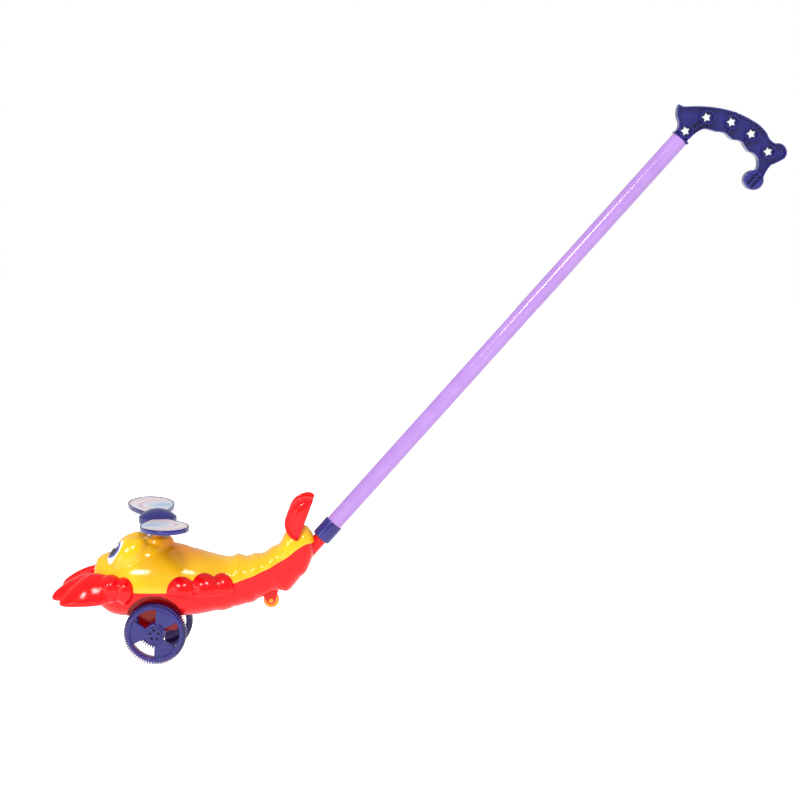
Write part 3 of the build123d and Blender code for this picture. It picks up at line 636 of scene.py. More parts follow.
def makeLowerHull():
    size = hullSize
    wall = bodySize["wall"]
    hull = combine(bodyForm("lowerHull", 0), [seamBlock("below", size["seamGap"], False)], "INTERSECT")
    solid = rememberMesh("solid", hull.data.copy())
    combine(hull, [bodyForm("inside", wall, *size["hollow"])], "DIFFERENCE")
    combine(hull, [housingForm("housing", 0)], "UNION")
    for side in (-1, 1):
        arch = archForm("arch", side, size["archWall"])
        lining = rememberMesh("lining", solid.data.copy())
        combine(lining, [arch], "INTERSECT")
        combine(hull, [lining], "UNION")
    bpy.data.objects.remove(solid)
    combine(hull, [housingForm("inner", size["housingWall"])], "DIFFERENCE")
    combine(hull, [archForm("arch", -1, 0), archForm("arch", 1, 0)], "DIFFERENCE")
    axle = Vector((0, 0, size["axleZ"])) * mm
    for side in (-1, 1):
        start = size["housingHalf"] - size["housingWall"] - size["bossLength"]
        stop = size["housingHalf"] - size["housingWall"] / 2
        boss = rod("boss", size["bossRadius"], start, stop, axle, (0, side, 0))
        combine(hull, [boss], "UNION")
        inner = size["lugInner"]
        lug = flatPrism("lug", lugOutline(), side * inner, side * (inner + size["lugThickness"]))
        combine(hull, [lug], "UNION")
    low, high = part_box("tail_roller")
    rollerMiddle = (Vector(low) + Vector(high)) / 2
    bores = ((size["axleHole"], 40, axle), (size["stubHole"], 12, rollerMiddle))
    for radius, reach, place in bores:
        combine(hull, [rod("bore", radius, -reach, reach, place, sideWay, steps=48)], "DIFFERENCE")
    combine(hull, [spigotRod("spigot", spigotSize["radius"], 0)], "UNION")
    combine(hull, [spigotRod("bore", spigotSize["radius"] - spigotSize["wall"], 2)], "DIFFERENCE")
    return smoothShaded(hull, 35)


lowerHull = finish(makeLowerHull(), redPlastic, "body", "red_plastic", "lower_hull")
print("lower hull", len(lowerHull.data.polygons))


# Claws, arms and legs: smooth forms melted together on each side

limbSize = dict(
    clawLean=0.42, legLean=0.15, ledgeDrop=0.4, ledgeShare=0.46, baseRise=0.7, voxel=0.75, smoothing=4,
    legSmoothing=2, baseVoxel=0.6, baseSmoothing=1, room=(-200, 300, 200))
# each row of a finger: x, underside, top, distance out and half width, in mm, from the tip back
outerFinger = [
    (-93.4, 61.8, 64.4, 42.5, 1.5), (-90.4, 60.6, 69.4, 42.6, 4.6), (-85.5, 60.2, 74.8, 42.6, 7.4),
    (-79.5, 60.2, 80.6, 42.2, 9.6), (-72.0, 60.4, 86.6, 41.4, 11.2), (-65.0, 60.6, 90.2, 40.6, 12.0),
    (-58.0, 61.0, 91.0, 39.6, 12.2), (-50.0, 62.0, 89.5, 38.0, 12.0), (-43.0, 65.0, 86.0, 36.0, 10.0),
    (-38.0, 70.0, 80.0, 35.0, 6.0)]
innerFinger = [
    (-102.0, 66.0, 69.0, 32.4, 1.5), (-99.8, 64.6, 72.2, 32.2, 3.6), (-96.0, 64.0, 75.8, 31.8, 5.4),
    (-89.0, 64.2, 80.6, 31.0, 7.0), (-81.0, 65.0, 85.0, 30.0, 8.4), (-72.0, 66.0, 88.4, 29.5, 9.4),
    (-62.0, 66.0, 89.6, 29.5, 9.8), (-52.0, 66.0, 88.0, 29.5, 9.0), (-45.0, 70.0, 83.0, 29.5, 6.0)]
armForms = [  # x, distance out, height, length and radius of each knuckle, in mm
    (-43.5, 34.5, 76.0, 27.0, 14.4), (-29.8, 33.0, 74.0, 22.0, 14.2)]
legForms = [  # x, distance out, height, half its length, depth and height, in mm, and its slant outwards
    (22.6, 32.0, 76.0, 18.6, 13.2, 15.0, 0.24), (45.6, 29.6, 76.4, 18.6, 13.0, 16.0, 0.22),
    (64.4, 26.6, 77.0, 14.8, 11.8, 14.4, 0.12)]
legBase = (43.0, 31.0, 72.6, 35.5, 11.6, 6.0, -0.16)  # the shelf that they stand on


def clawFinger(side, rows, slices=60, steps=56):
    # a finger through its rows, egg-shaped across with a flatter underside
    rings = []
    first, last = rows[0][0], rows[-1][0]
    for index in range(slices + 1):
        x = first + (last - first) * (index / slices) ** 1.3
        low, high, out, half = (stationValue(x, column, rows) for column in (1, 2, 3, 4))
        middle = low + (high - low) * 0.34
        ring = []
        for step in range(steps):
            angle = 2 * pi * step / steps
            across, up = cos(angle), sin(angle)
            reach = high - middle if up > 0 else middle - low
            power = 0.9 if up > 0 else 0.72
            z = middle + reach * abs(up) ** power * (1 if up > 0 else -1)
            y = out + half * abs(across) ** power * (1 if across > 0 else -1)
            y -= limbSize["clawLean"] * (z - middle)
            ring.append(Vector((x, side * y, z)) * mm)
        rings.append(ring)
    return throughRings("finger", rings)


def legForm(side, x, out, z, long, deep, tall, slant):
    form = headForm((0, 0, 0), (long, deep, tall), 0)
    for point in form.data.vertices:
        point.co.y += side * (slant * point.co.x - limbSize["legLean"] * point.co.z)
    form.data.transform(Matrix.Translation(Vector((x, side * out, z)) * mm))
    return form


def makeLimbs(side, name):
    size = limbSize
    front = [clawFinger(side, rows) for rows in (outerFinger, innerFinger)]
    for x, out, z, length, radius in armForms:
        front.append(roundForm("arm", Vector((x, side * out, z)) * mm, length, radius))
    legs = joined("legs", [legForm(side, *row) for row in legForms])
    softened(legs, size["voxel"] * mm, size["legSmoothing"])
    ledge = bodyZ(stationValue(size["ledgeShare"], 3)) - size["ledgeDrop"]
    near, far, half = size["room"]
    above = [(near, ledge), (far, ledge), (far, far), (near, far)]
    combine(legs, [flatPrism("room", above, -half, half)], "INTERSECT")
    base = legForm(side, *legBase)
    top = ledge + size["baseRise"]
    below = [(near, near), (far, near), (far, top), (near, top)]
    combine(base, [flatPrism("room", below, -half, half)], "INTERSECT")
    softened(base, size["baseVoxel"] * mm, size["baseSmoothing"])
    combine(legs, [base], "UNION")
    limbs = joined(name, front)
    softened(limbs, size["voxel"] * mm, size["smoothing"])
    combine(limbs, [legs], "UNION")
    skin = bodyForm("skin", -bodySize["skinGap"])
    combine(skin, [seamBlock("above", hullSize["seamGap"], True)], "INTERSECT")
    combine(limbs, [skin, bodyForm("inside", bodySize["wall"], *hullSize["hollow"])], "DIFFERENCE")
    return smoothShaded(limbs, 40)


for side, word, end in sides:
    limbs = finish(makeLimbs(side, "limbs" + word), redPlastic, "body", "red_plastic", "lower_hull")
    print("limbs", word, len(limbs.data.polygons))


# Wheels: turned rim and hub, three spokes, and the teeth set round the rim by a node tree

wheelSize = dict(
    radius=31.0, width=14.0, midY=32.0, teeth=72, toothDepth=2.4, tipShare=0.34, rootShare=0.52,
    rimWall=4.0, edge=0.9, taper=0.5, taperLong=3.0, rimDrop=3.6,
    spokeThickness=3.0, spokeRecess=1.6, spokes=3, windowAngle=62.0, windowTurn=-3.0,
    hubRadius=10.2, capRadius=7.6, capRise=1.2, holes=5, holePitch=4.5, holeRadius=2.6, holeDepth=3.4,
    axleHole=2.02, endCover=4.2)


def wheelMatrix(side):
    size = wheelSize
    place = Vector((0, side * (size["midY"] - size["width"] / 2), size["radius"])) * mm
    turn = Matrix(((1, 0, 0), (0, 0, side), (0, -side, 0))).to_4x4()
    return Matrix.Translation(place) @ turn


def toothRing():
    # one wedge, set round the rim by a node tree with named inputs
    size = wheelSize
    pitch = 2 * pi * size["radius"] / size["teeth"]
    root, tip = size["rootShare"] * pitch / 2, size["tipShare"] * pitch / 2
    wide, deep = size["width"], size["toothDepth"]
    sink = deep + 0.4
    rings = []
    taperStart = wide - size["taperLong"]
    for height, shrink in ((0.0, 0.35), (0.5, 0.0), (taperStart, 0.0), (wide - 1.2, size["taper"])):
        top = -shrink
        corners = (
            (-sink + top, -root), (-deep + top, -root), (top, -tip), (top, tip), (-deep + top, root),
            (-sink + top, root))
        rings.append([Vector((x, y, height)) * mm for x, y in corners])
    wedge = throughRings("wedge", rings)
    tree = bpy.data.node_groups.new("toothRing", "GeometryNodeTree")
    face = tree.interface
    face.new_socket("Geometry", in_out="INPUT", socket_type="NodeSocketGeometry")
    face.new_socket("Teeth", in_out="INPUT", socket_type="NodeSocketInt")
    face.new_socket("Radius", in_out="INPUT", socket_type="NodeSocketFloat")
    face.new_socket("Material", in_out="INPUT", socket_type="NodeSocketMaterial")
    face.new_socket("Geometry", in_out="OUTPUT", socket_type="NodeSocketGeometry")
    given, result = addNode(tree, "NodeGroupInput"), addNode(tree, "NodeGroupOutput")
    circle = addNode(tree, "GeometryNodeMeshCircle")
    place = addNode(tree, "GeometryNodeInstanceOnPoints")
    whole = addNode(tree, "GeometryNodeRealizeInstances")
    paint = addNode(tree, "GeometryNodeSetMaterial")
    spot = addNode(tree, "GeometryNodeInputIndex")
    turn = addNode(tree, "ShaderNodeMath", operation="MULTIPLY")
    share = addNode(tree, "ShaderNodeMath", operation="DIVIDE")
    share.inputs[0].default_value = 2 * pi
    euler = addNode(tree, "ShaderNodeCombineXYZ")
    link = tree.links.new
    link(given.outputs["Teeth"], circle.inputs["Vertices"])
    link(given.outputs["Radius"], circle.inputs["Radius"])
    link(given.outputs["Teeth"], share.inputs[1])
    link(spot.outputs["Index"], turn.inputs[0])
    link(share.outputs[0], turn.inputs[1])
    link(turn.outputs[0], euler.inputs["Z"])
    link(circle.outputs["Mesh"], place.inputs["Points"])
    link(given.outputs["Geometry"], place.inputs["Instance"])
    link(euler.outputs["Vector"], place.inputs["Rotation"])
    link(place.outputs["Instances"], whole.inputs["Geometry"])
    link(whole.outputs["Geometry"], paint.inputs["Geometry"])
    link(given.outputs["Material"], paint.inputs["Material"])
    link(paint.outputs["Geometry"], result.inputs["Geometry"])
    ring = wedge.modifiers.new("ring", "NODES")
    ring.node_group = tree
    values = {"Teeth": size["teeth"], "Radius": size["radius"] * mm, "Material": violetPlastic}
    for socket in face.items_tree:
        if socket.in_out == "INPUT" and socket.name in values:
            ring[socket.identifier] = values[socket.name]
    return applied(wedge)


def makeWheel(side, name):
    size = wheelSize
    root = size["radius"] - size["toothDepth"]
    inner = root - size["rimWall"]
    edge = size["edge"]
    wide = size["width"]
    taper = size["taper"]
    face = wide - size["rimDrop"]
    shoulder = root - taper
    rim = [(root, face), (shoulder, wide - 1.0), (shoulder - 0.4, wide - 0.3), (shoulder - 1.0, wide)]
    rim += roundedCorner(inner + edge, wide - edge, edge, 1)
    rim += roundedCorner(inner + edge, edge, edge, 2) + roundedCorner(root - edge, edge, edge, 3)
    rim = lathed("rim", rim, origin, upWay, steps=144)
    bore, cover = size["axleHole"], wide - size["endCover"]
    cap = wide + size["capRise"]
    hub = [(0, cover), (bore, cover), (bore, 0), (size["hubRadius"], 0)]
    hub += roundedCorner(size["hubRadius"] - edge, wide - edge, edge, 0)
    hub += [(size["capRadius"] + 0.3, wide)]
    hub += roundedCorner(size["capRadius"] - 0.5, cap - 0.5, 0.5, 0)
    hub += [(0, cap)]
    hub = lathed("hub", hub, origin, upWay)
    for index in range(size["holes"]):
        angle = radians(90 + 360 / size["holes"] * index)
        middle = Vector((size["holePitch"] * cos(angle), size["holePitch"] * sin(angle)))
        reach = size["holeRadius"]
        turns = [angle + pi + turn for turn in (0, 2 * pi / 3, 4 * pi / 3)]
        corners = [(middle.x + reach * cos(turn), middle.y + reach * sin(turn)) for turn in turns]
        combine(hub, [upright("hole", corners, cap - size["holeDepth"], cap + 1)], "DIFFERENCE")
    top = wide - size["spokeRecess"]
    spokes = []
    wedge = radians(360 / size["spokes"] - size["windowAngle"])
    for index in range(size["spokes"]):
        middle = radians(size["windowTurn"] + 360 / size["spokes"] * (index + 0.5))
        outline = []
        for radius, first, last in ((inner + 0.8, -0.5, 0.5), (size["hubRadius"] - 1.0, 0.5, -0.5)):
            for step in range(17):
                angle = middle + wedge * (first + (last - first) * step / 16)
                outline.append((radius * cos(angle), radius * sin(angle)))
        spoke = upright("spoke", outline, top - size["spokeThickness"], top)
        spokes.append(bevelled(spoke, 0.5 * mm, segments=3))
    wheel = joined(name, [rim, hub, toothRing()] + spokes)
    wheel.data.transform(wheelMatrix(side))
    return smoothShaded(wheel, 32)


for side, word, end in sides:
    wheel = finish(makeWheel(side, "wheel" + word), violetPlastic, "wheels", "violet_plastic", "wheel_" + end)
    print("wheel", word, len(wheel.data.polygons))


# Rotor: two dished blades and a domed hub

rotorSize = dict(
    length=222.0, bladeWidth=48.0, rootX=8.0, thickness=4.8, rimWall=1.5, web=1.0, rise=2.2, cone=2.0,
    labelDepth=0.7, labelThickness=0.3, labelStart=20.0,
    bottomZ=137.0, hubRadius=19.2, skirt=6.0, domeRise=8.5, hubWall=1.6, sleeveRadius=4.2, shaftHole=1.52,
    sleeveDrop=11.4, turn=12.0, steps=56)


# place along a blade and its half width there, as shares
bladeRows = [
    (0.000, 0.34), (0.080, 0.36), (0.180, 0.48), (0.320, 0.72), (0.460, 0.91), (0.580, 0.99), (0.660, 1.00),
    (0.760, 0.94), (0.850, 0.80), (0.920, 0.61), (0.965, 0.42), (0.990, 0.23), (1.000, 0.03)]


def bladeOutline(inset):
    # a paddle: narrow at the hub, widest past the middle, with a round tip
    size = rotorSize
    rootX, tipX = size["rootX"] + inset, size["length"] / 2 - inset
    half, steps = size["bladeWidth"] / 2, size["steps"]
    upper = []
    for step in range(steps + 1):
        share = 1 - (1 - step / steps) ** 1.8
        wide = half * stationValue(share, 1, bladeRows) - inset
        upper.append((rootX + (tipX - rootX) * share, max(wide, 0.05 * (steps - step + 1))))
    return upper + [(x, -y) for x, y in reversed(upper)]


def rotorTurn(index):
    return Matrix.Rotation(radians(rotorSize["turn"] - 90) + pi * index, 4, "Z")


def rotorPlace(piece, index):
    # raises a blade or label towards its tip, then sets it on the hub
    size = rotorSize
    for point in piece.data.vertices:
        point.co.z += (point.co.x - size["hubRadius"] * mm) * sin(radians(size["cone"]))
    piece.data.transform(Matrix.Translation(Vector((0, 0, size["bottomZ"])) * mm) @ rotorTurn(index))
    return piece


def makeLabel(name, index):
    size = rotorSize
    floor = size["rise"] + size["thickness"] - size["labelDepth"] + 0.03
    outline = [(x, y) for x, y in bladeOutline(size["rimWall"] + 0.1) if x > size["labelStart"]]
    return rotorPlace(upright(name, outline, floor, floor + size["labelThickness"]), index)


def makeRotor():
    size = rotorSize
    top = size["thickness"]
    floor = top - size["labelDepth"]
    under = floor - size["web"]
    wall = size["rimWall"]
    section = [
        (wall, floor), (wall, top - 0.2), (wall - 0.2, top), (0.5, top), (0.15, top - 0.15), (0, top - 0.5),
        (0, 0.5), (0.15, 0.15), (0.5, 0), (wall - 0.2, 0), (wall, 0.2), (wall, under)]
    blades = []
    for index in range(2):
        rings = []
        for inset, height in section:
            rings.append([Vector((x, y, height + size["rise"])) * mm for x, y in bladeOutline(inset)])
        blades.append(rotorPlace(throughRings("blade", rings), index))
    dome = (size["hubRadius"]**2 + size["domeRise"]**2) / (2 * size["domeRise"])
    reach = asin(size["hubRadius"] / dome)
    topZ = size["skirt"] + size["domeRise"]
    skirt, sleeve, drop = size["skirt"], size["sleeveRadius"], -size["sleeveDrop"]
    outer, inner = size["hubRadius"], size["hubRadius"] - size["hubWall"]
    hub = [
        (0, skirt), (size["shaftHole"], skirt), (size["shaftHole"], drop), (sleeve, drop), (sleeve, skirt),
        (inner, skirt), (inner, 0.3), (inner + 0.3, 0), (outer - 0.5, 0), (outer, 0.5)]
    for step in range(25):
        angle = reach * (1 - step / 24)
        hub.append((dome * sin(angle), topZ - dome + dome * cos(angle)))
    hub[-1] = (0, topZ)
    hub = lathed("hub", hub, Vector((0, 0, size["bottomZ"])) * mm, upWay, steps=128)
    return smoothShaded(joined("rotor", blades + [hub]), 40)


rotor = finish(makeRotor(), violetPlastic, "rotor", "violet_plastic", "rotor_blades")
print("rotor", len(rotor.data.polygons))


# Printed labels: pastel arcs round a centre beside each blade

arcs = dict(centre=(0.062, -0.012, 0.146), reach=0.062)  # in metres, round a point beside the blade


def labelPrint(name, centre):
    material = mouldedPlastic(name, colour(238, 236, 242), colour(230, 228, 236), gloss=0.3, coat=0.2)
    tree, shader, plain, coordinates = colouring(material)
    ball = softBall(tree, coordinates, centre, (arcs["reach"], arcs["reach"], arcs["reach"]))
    bands = addNode(tree, "ShaderNodeValToRGB")
    bands.color_ramp.interpolation = "CONSTANT"
    paper = (238, 234, 240)
    stops = [
        (0.0, paper), (0.04, (150, 190, 232)), (0.20, paper), (0.30, (238, 206, 214)),
        (0.38, (238, 216, 200)), (0.46, paper), (0.56, (228, 190, 204)), (0.64, paper),
        (0.72, (206, 220, 238)), (0.86, (178, 202, 234))]
    ramp = bands.color_ramp.elements
    for index, (position, tint) in enumerate(stops):
        stop = ramp[index] if index < 2 else ramp.new(position)
        stop.position = position
        stop.color = colour(*tint)
    tree.links.new(ball, bands.inputs["Fac"])
    blend = addNode(tree, "ShaderNodeMix", data_type="RGBA", blend_type="MULTIPLY")
    blend.inputs["Factor"].default_value = 0.25
    sockets = [item for item in blend.inputs if item.type == "RGBA"]
    tree.links.new(bands.outputs["Color"], sockets[0])
    tree.links.new(plain, sockets[1])
    tree.links.new([item for item in blend.outputs if item.type == "RGBA"][0], shader.inputs["Base Color"])
    return material


def dress(node, material):
    # a CAD node that stays gets its finished material
    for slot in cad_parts[node].material_slots:
        slot.material = material


for index, (side, word, end) in enumerate(sides):
    label = makeLabel("bladeLabel" + word, index)
    away = rotorTurn(index) @ Vector(arcs["centre"])
    finish(label, labelPrint("labelPrint" + word, away), "rotor", "label_print", "blade_label_" + end)


# Eyes: printed patches that follow the bulges

eyeSize = dict(turn=38.0, tilt=30.0, lift=0.12, thickness=0.35)
# height on the eye, and its edges towards the nose and away from it, in mm
eyeRows = [
    (-13.5, -1.6, -1.2), (-12.0, -4.8, 0.8), (-9.0, -8.6, 3.0), (-5.0, -11.0, 4.8), (0.0, -11.6, 6.0),
    (5.0, -10.2, 6.2), (9.0, -7.0, 5.4), (12.0, -3.0, 3.8), (13.6, 0.8, 1.8)]


def eyePrint(name, look, across, centre):
    material = mouldedPlastic(name, colour(246, 246, 248), colour(240, 240, 243), gloss=0.2, coat=0.4)
    tree, shader, result, coordinates = colouring(material)
    up = Vector((0, 0, 1)) - look * look.z
    up.normalize()
    turn = Matrix((up.cross(look), up, look)).transposed().to_euler()
    spots = [  # place across and up in mm, size across and up, colour
        (-4.6, 2.0, 10.0, 10.2, (86, 92, 156)), (-5.0, 2.2, 7.6, 8.2, (26, 26, 42)),
        (-2.2, 6.2, 2.6, 3.4, (250, 250, 252))]
    for right, rise, wide, high, tint in spots:
        place = centre + (across * right + up * rise) * mm
        ball = softBall(tree, coordinates, place, (wide * mm, high * mm, 0.06), turn)
        edge = remap(tree, ball, 0.0, 1.0, 0.0, 0.08)
        result = mixColour(tree, edge, result, colour(*tint))
    tree.links.new(result, shader.inputs["Base Color"])
    return material


def makeEye(side, name):
    size = eyeSize
    turn, tilt = radians(size["turn"]), radians(size["tilt"])
    look = Vector((-cos(turn) * cos(tilt), side * sin(turn) * cos(tilt), sin(tilt)))
    centre = bodyPlace(side, *eyeBulge["place"])
    across = Vector((0, 0, 1)).cross(look).normalized() * -side
    up = (Vector((0, 0, 1)) - look * look.z).normalized()
    skin = BVHTree.FromObject(upperShell, bpy.context.evaluated_depsgraph_get())
    rows, steps = 28, 20
    rings = []
    for row in range(rows + 1):
        rise = eyeRows[0][0] + (eyeRows[-1][0] - eyeRows[0][0]) * row / rows
        low, high = stationValue(rise, 1, eyeRows), stationValue(rise, 2, eyeRows)
        ring = []
        for step in range(steps + 1):
            aside = low + (high - low) * step / steps
            away = centre + (across * aside + up * rise) * mm + look * 0.06
            ring.append(skin.ray_cast(away, -look)[0] + look * size["lift"] * mm)
        rings.append(ring)
    count = steps + 1
    points, faces = [], []
    for lift in (0.0, -size["thickness"] * mm):
        for ring in rings:
            points += [point + look * lift for point in ring]
    layer = (rows + 1) * count
    for row in range(rows):
        for step in range(steps):
            a, b = row * count + step, row * count + step + 1
            c, d = b + count, a + count
            faces.append((a, b, c, d))
            faces.append((layer + d, layer + c, layer + b, layer + a))
    border = list(range(count)) + [row * count + steps for row in range(1, rows + 1)]
    border += [rows * count + step for step in range(steps - 1, -1, -1)]
    border += [row * count for row in range(rows - 1, 0, -1)]
    for index, spot in enumerate(border):
        ahead = border[(index + 1) % len(border)]
        faces.append((spot, ahead, layer + ahead, layer + spot))
    eye = meshPiece(name, points, faces)
    middle = centre + look * eyeBulge["halves"][1] * mm
    return smoothShaded(eye, 50), eyePrint(name + "Print", look, across, middle)


for side, word, end in sides:
    eye, eyeMaterial = makeEye(side, "eye" + word)
    finish(eye, eyeMaterial, "body", "eye_print", "eye_" + end)
print("eyes ready")


# Tail fan, handle, pole, collar and roller

def arcPoints(first, middle, last, steps=8):
    # points on the arc through three, without the last
    (ax, ay), (bx, by), (cx, cy) = first, middle, last
    spread = 2 * (ax * (by - cy) + bx * (cy - ay) + cx * (ay - by))
    if abs(spread) < 1e-6:
        return [(ax + (cx - ax) * step / steps, ay + (cy - ay) * step / steps) for step in range(steps)]
    squares = [x * x + y * y for x, y in (first, middle, last)]
    x = (squares[0] * (by - cy) + squares[1] * (cy - ay) + squares[2] * (ay - by)) / spread
    y = (squares[0] * (cx - bx) + squares[1] * (ax - cx) + squares[2] * (bx - ax)) / spread
    start, half, stop = (Vector((px - x, py - y)) for px, py in (first, middle, last))
    turn = -start.angle_signed(half) - half.angle_signed(stop)
    points = []
    for step in range(steps):
        angle = turn * step / steps
        across, up = cos(angle), sin(angle)
        points.append((x + start.x * across - start.y * up, y + start.x * up + start.y * across))
    return points


def arcOutline(shares, size, steps=8):
    points = [(along * size, across * size) for along, across in shares]
    outline = []
    for index in range(0, len(points) - 2, 2):
        outline += arcPoints(points[index], points[index + 1], points[index + 2], steps)
    if len(points) % 2 == 0:
        outline += arcPoints(points[-2], points[-1], points[0], steps)
    else:
        outline.append(points[-1])
    return outline


def drawnIn(outline, distance):
    # an outline moved inwards by the mean direction of its two neighbours
    area = sum(a[0] * b[1] - b[0] * a[1] for a, b in zip(outline, outline[1:] + outline[:1]))
    way = 1 if area > 0 else -1
    result = []
    for index, point in enumerate(outline):
        before, after = Vector(outline[index - 1]), Vector(outline[(index + 1) % len(outline)])
        along = (after - before).normalized()
        result.append((point[0] - way * along.y * distance, point[1] + way * along.x * distance))
    return result


fanSize = dict(
    height=44.0, thickness=4.5, foot=(0.919, 0.415, 0.845), rim=3.0, groove=1.1, shift=(2.0, -1.0),
    pillow=1.7)
fanOutline = [
    (0.000, 0.000), (-0.256, 0.290), (-0.208, 0.617), (-0.080, 0.863), (0.188, 1.000),
    (0.306, 0.992), (0.385, 0.925), (0.237, 0.530), (0.088, 0.133), (0.048, 0.046)]


def makeFan(side, name):
    size = fanSize
    outline = arcOutline(fanOutline, size["height"], 10)
    x, out, z = size["foot"]
    foot = Vector((bodyX(x), 0, bodyZ(z)))
    start = out * bodySize["width"] / 2 - size["thickness"] / 2
    face = start + size["thickness"]
    middle = [sum(point[axis] for point in outline) / len(outline) for axis in (0, 1)]
    rim = size["rim"]
    rings = []
    section = [
        (0.9, start), (0.3, start + 0.2), (0, start + 0.7), (0, face - 0.8), (0.25, face - 0.25), (0.8, face),
        (rim - 0.5, face), (rim, face - 0.3), (rim + 0.3, face - size["groove"])]
    for inset, out in section:
        ring = drawnIn(outline, inset)
        rings.append([(foot + Vector((px, side * out, pz))) * mm for px, pz in ring])
    floor = [(px + size["shift"][0], pz + size["shift"][1]) for px, pz in drawnIn(outline, rim + 0.6)]
    for share in (0.98, 0.94, 0.86, 0.74, 0.58, 0.38, 0.18, 0.04):
        drop = size["groove"] - size["pillow"] * (1 - share ** 4)
        ring = []
        for px, pz in floor:
            along, up = middle[0] + (px - middle[0]) * share, middle[1] + (pz - middle[1]) * share
            ring.append((foot + Vector((along, side * (face - drop), up))) * mm)
        rings.append(ring)
    return smoothShaded(throughRings(name, rings), 50)


for side, word, end in sides:
    finish(makeFan(side, "fan" + word), redPlastic, "body", "red_plastic", "tail_fan_" + end)


# Handle: a web with star holes, a thin rim, ring walls, ribs and a slotted knob

handleSize = dict(
    size=100.0, half=8.0, rim=1.3, web=3.0, ringRadius=7.2, ringWall=1.1, starRadius=4.7, starWaist=0.56,
    ribWidth=1.1, ribHalf=7.2, channelAside=3.0, channelEnd=6.0, knobRadius=9.8, knobEdge=1.6,
    slotWidth=3.2, slotDepth=4.5, slotAside=2.4, slotMargin=2.2, neckLow=-9.2, neckHigh=8.6, neckLong=1.8,
    plugLong=26.0, plugWall=1.8, plugGap=0.06)
handleOutline = [
    (0.000, -0.092), (0.060, -0.088), (0.118, -0.141), (0.170, -0.205), (0.236, -0.238),
    (0.244, -0.205), (0.262, -0.175), (0.385, -0.040), (0.491, 0.114), (0.562, 0.267),
    (0.602, 0.420), (0.612, 0.520), (0.598, 0.608), (0.578, 0.665), (0.585, 0.726),
    (0.626, 0.808), (0.538, 0.892), (0.464, 0.866), (0.400, 0.837), (0.330, 0.843),
    (0.265, 0.862), (0.200, 0.815), (0.255, 0.766), (0.331, 0.735), (0.368, 0.680),
    (0.370, 0.640), (0.354, 0.590), (0.358, 0.545), (0.377, 0.484), (0.368, 0.440),
    (0.337, 0.398), (0.330, 0.350), (0.332, 0.308), (0.312, 0.250), (0.283, 0.216),
    (0.258, 0.160), (0.226, 0.107), (0.150, 0.076), (0.060, 0.066), (0.020, 0.066),
    (0.000, 0.086)]
handleRings = [  # place, and how far its rib reaches outwards and inwards, in mm
    ((0.090, -0.012), 0.0, 0.0), ((0.327, 0.054), 10.4, 10.2), ((0.456, 0.268), 10.6, 11.0),
    ((0.502, 0.492), 10.6, 11.0), ((0.484, 0.734), 9.0, 11.0)]
handleKnob = (0.181, 0.810)
poleEnd = poleMiddle + poleWay * poleSize["length"] / 2 * mm
handleAcross = Vector((poleWay.z, 0, -poleWay.x))


def handlePoint(along, across, deep):
    return poleEnd + (poleWay * along + handleAcross * across + Vector((0, deep, 0))) * mm


def handlePrism(name, outline, low, high):
    return throughRings(name, [[handlePoint(u, v, deep) for u, v in outline] for deep in (low, high)])


def handleBar(name, first, last, width, half):
    # a straight wall between two points
    first, last = Vector(first), Vector(last)
    aside = (last - first).normalized().orthogonal() * width / 2
    return handlePrism(name, [first + aside, last + aside, last - aside, first - aside], -half, half)


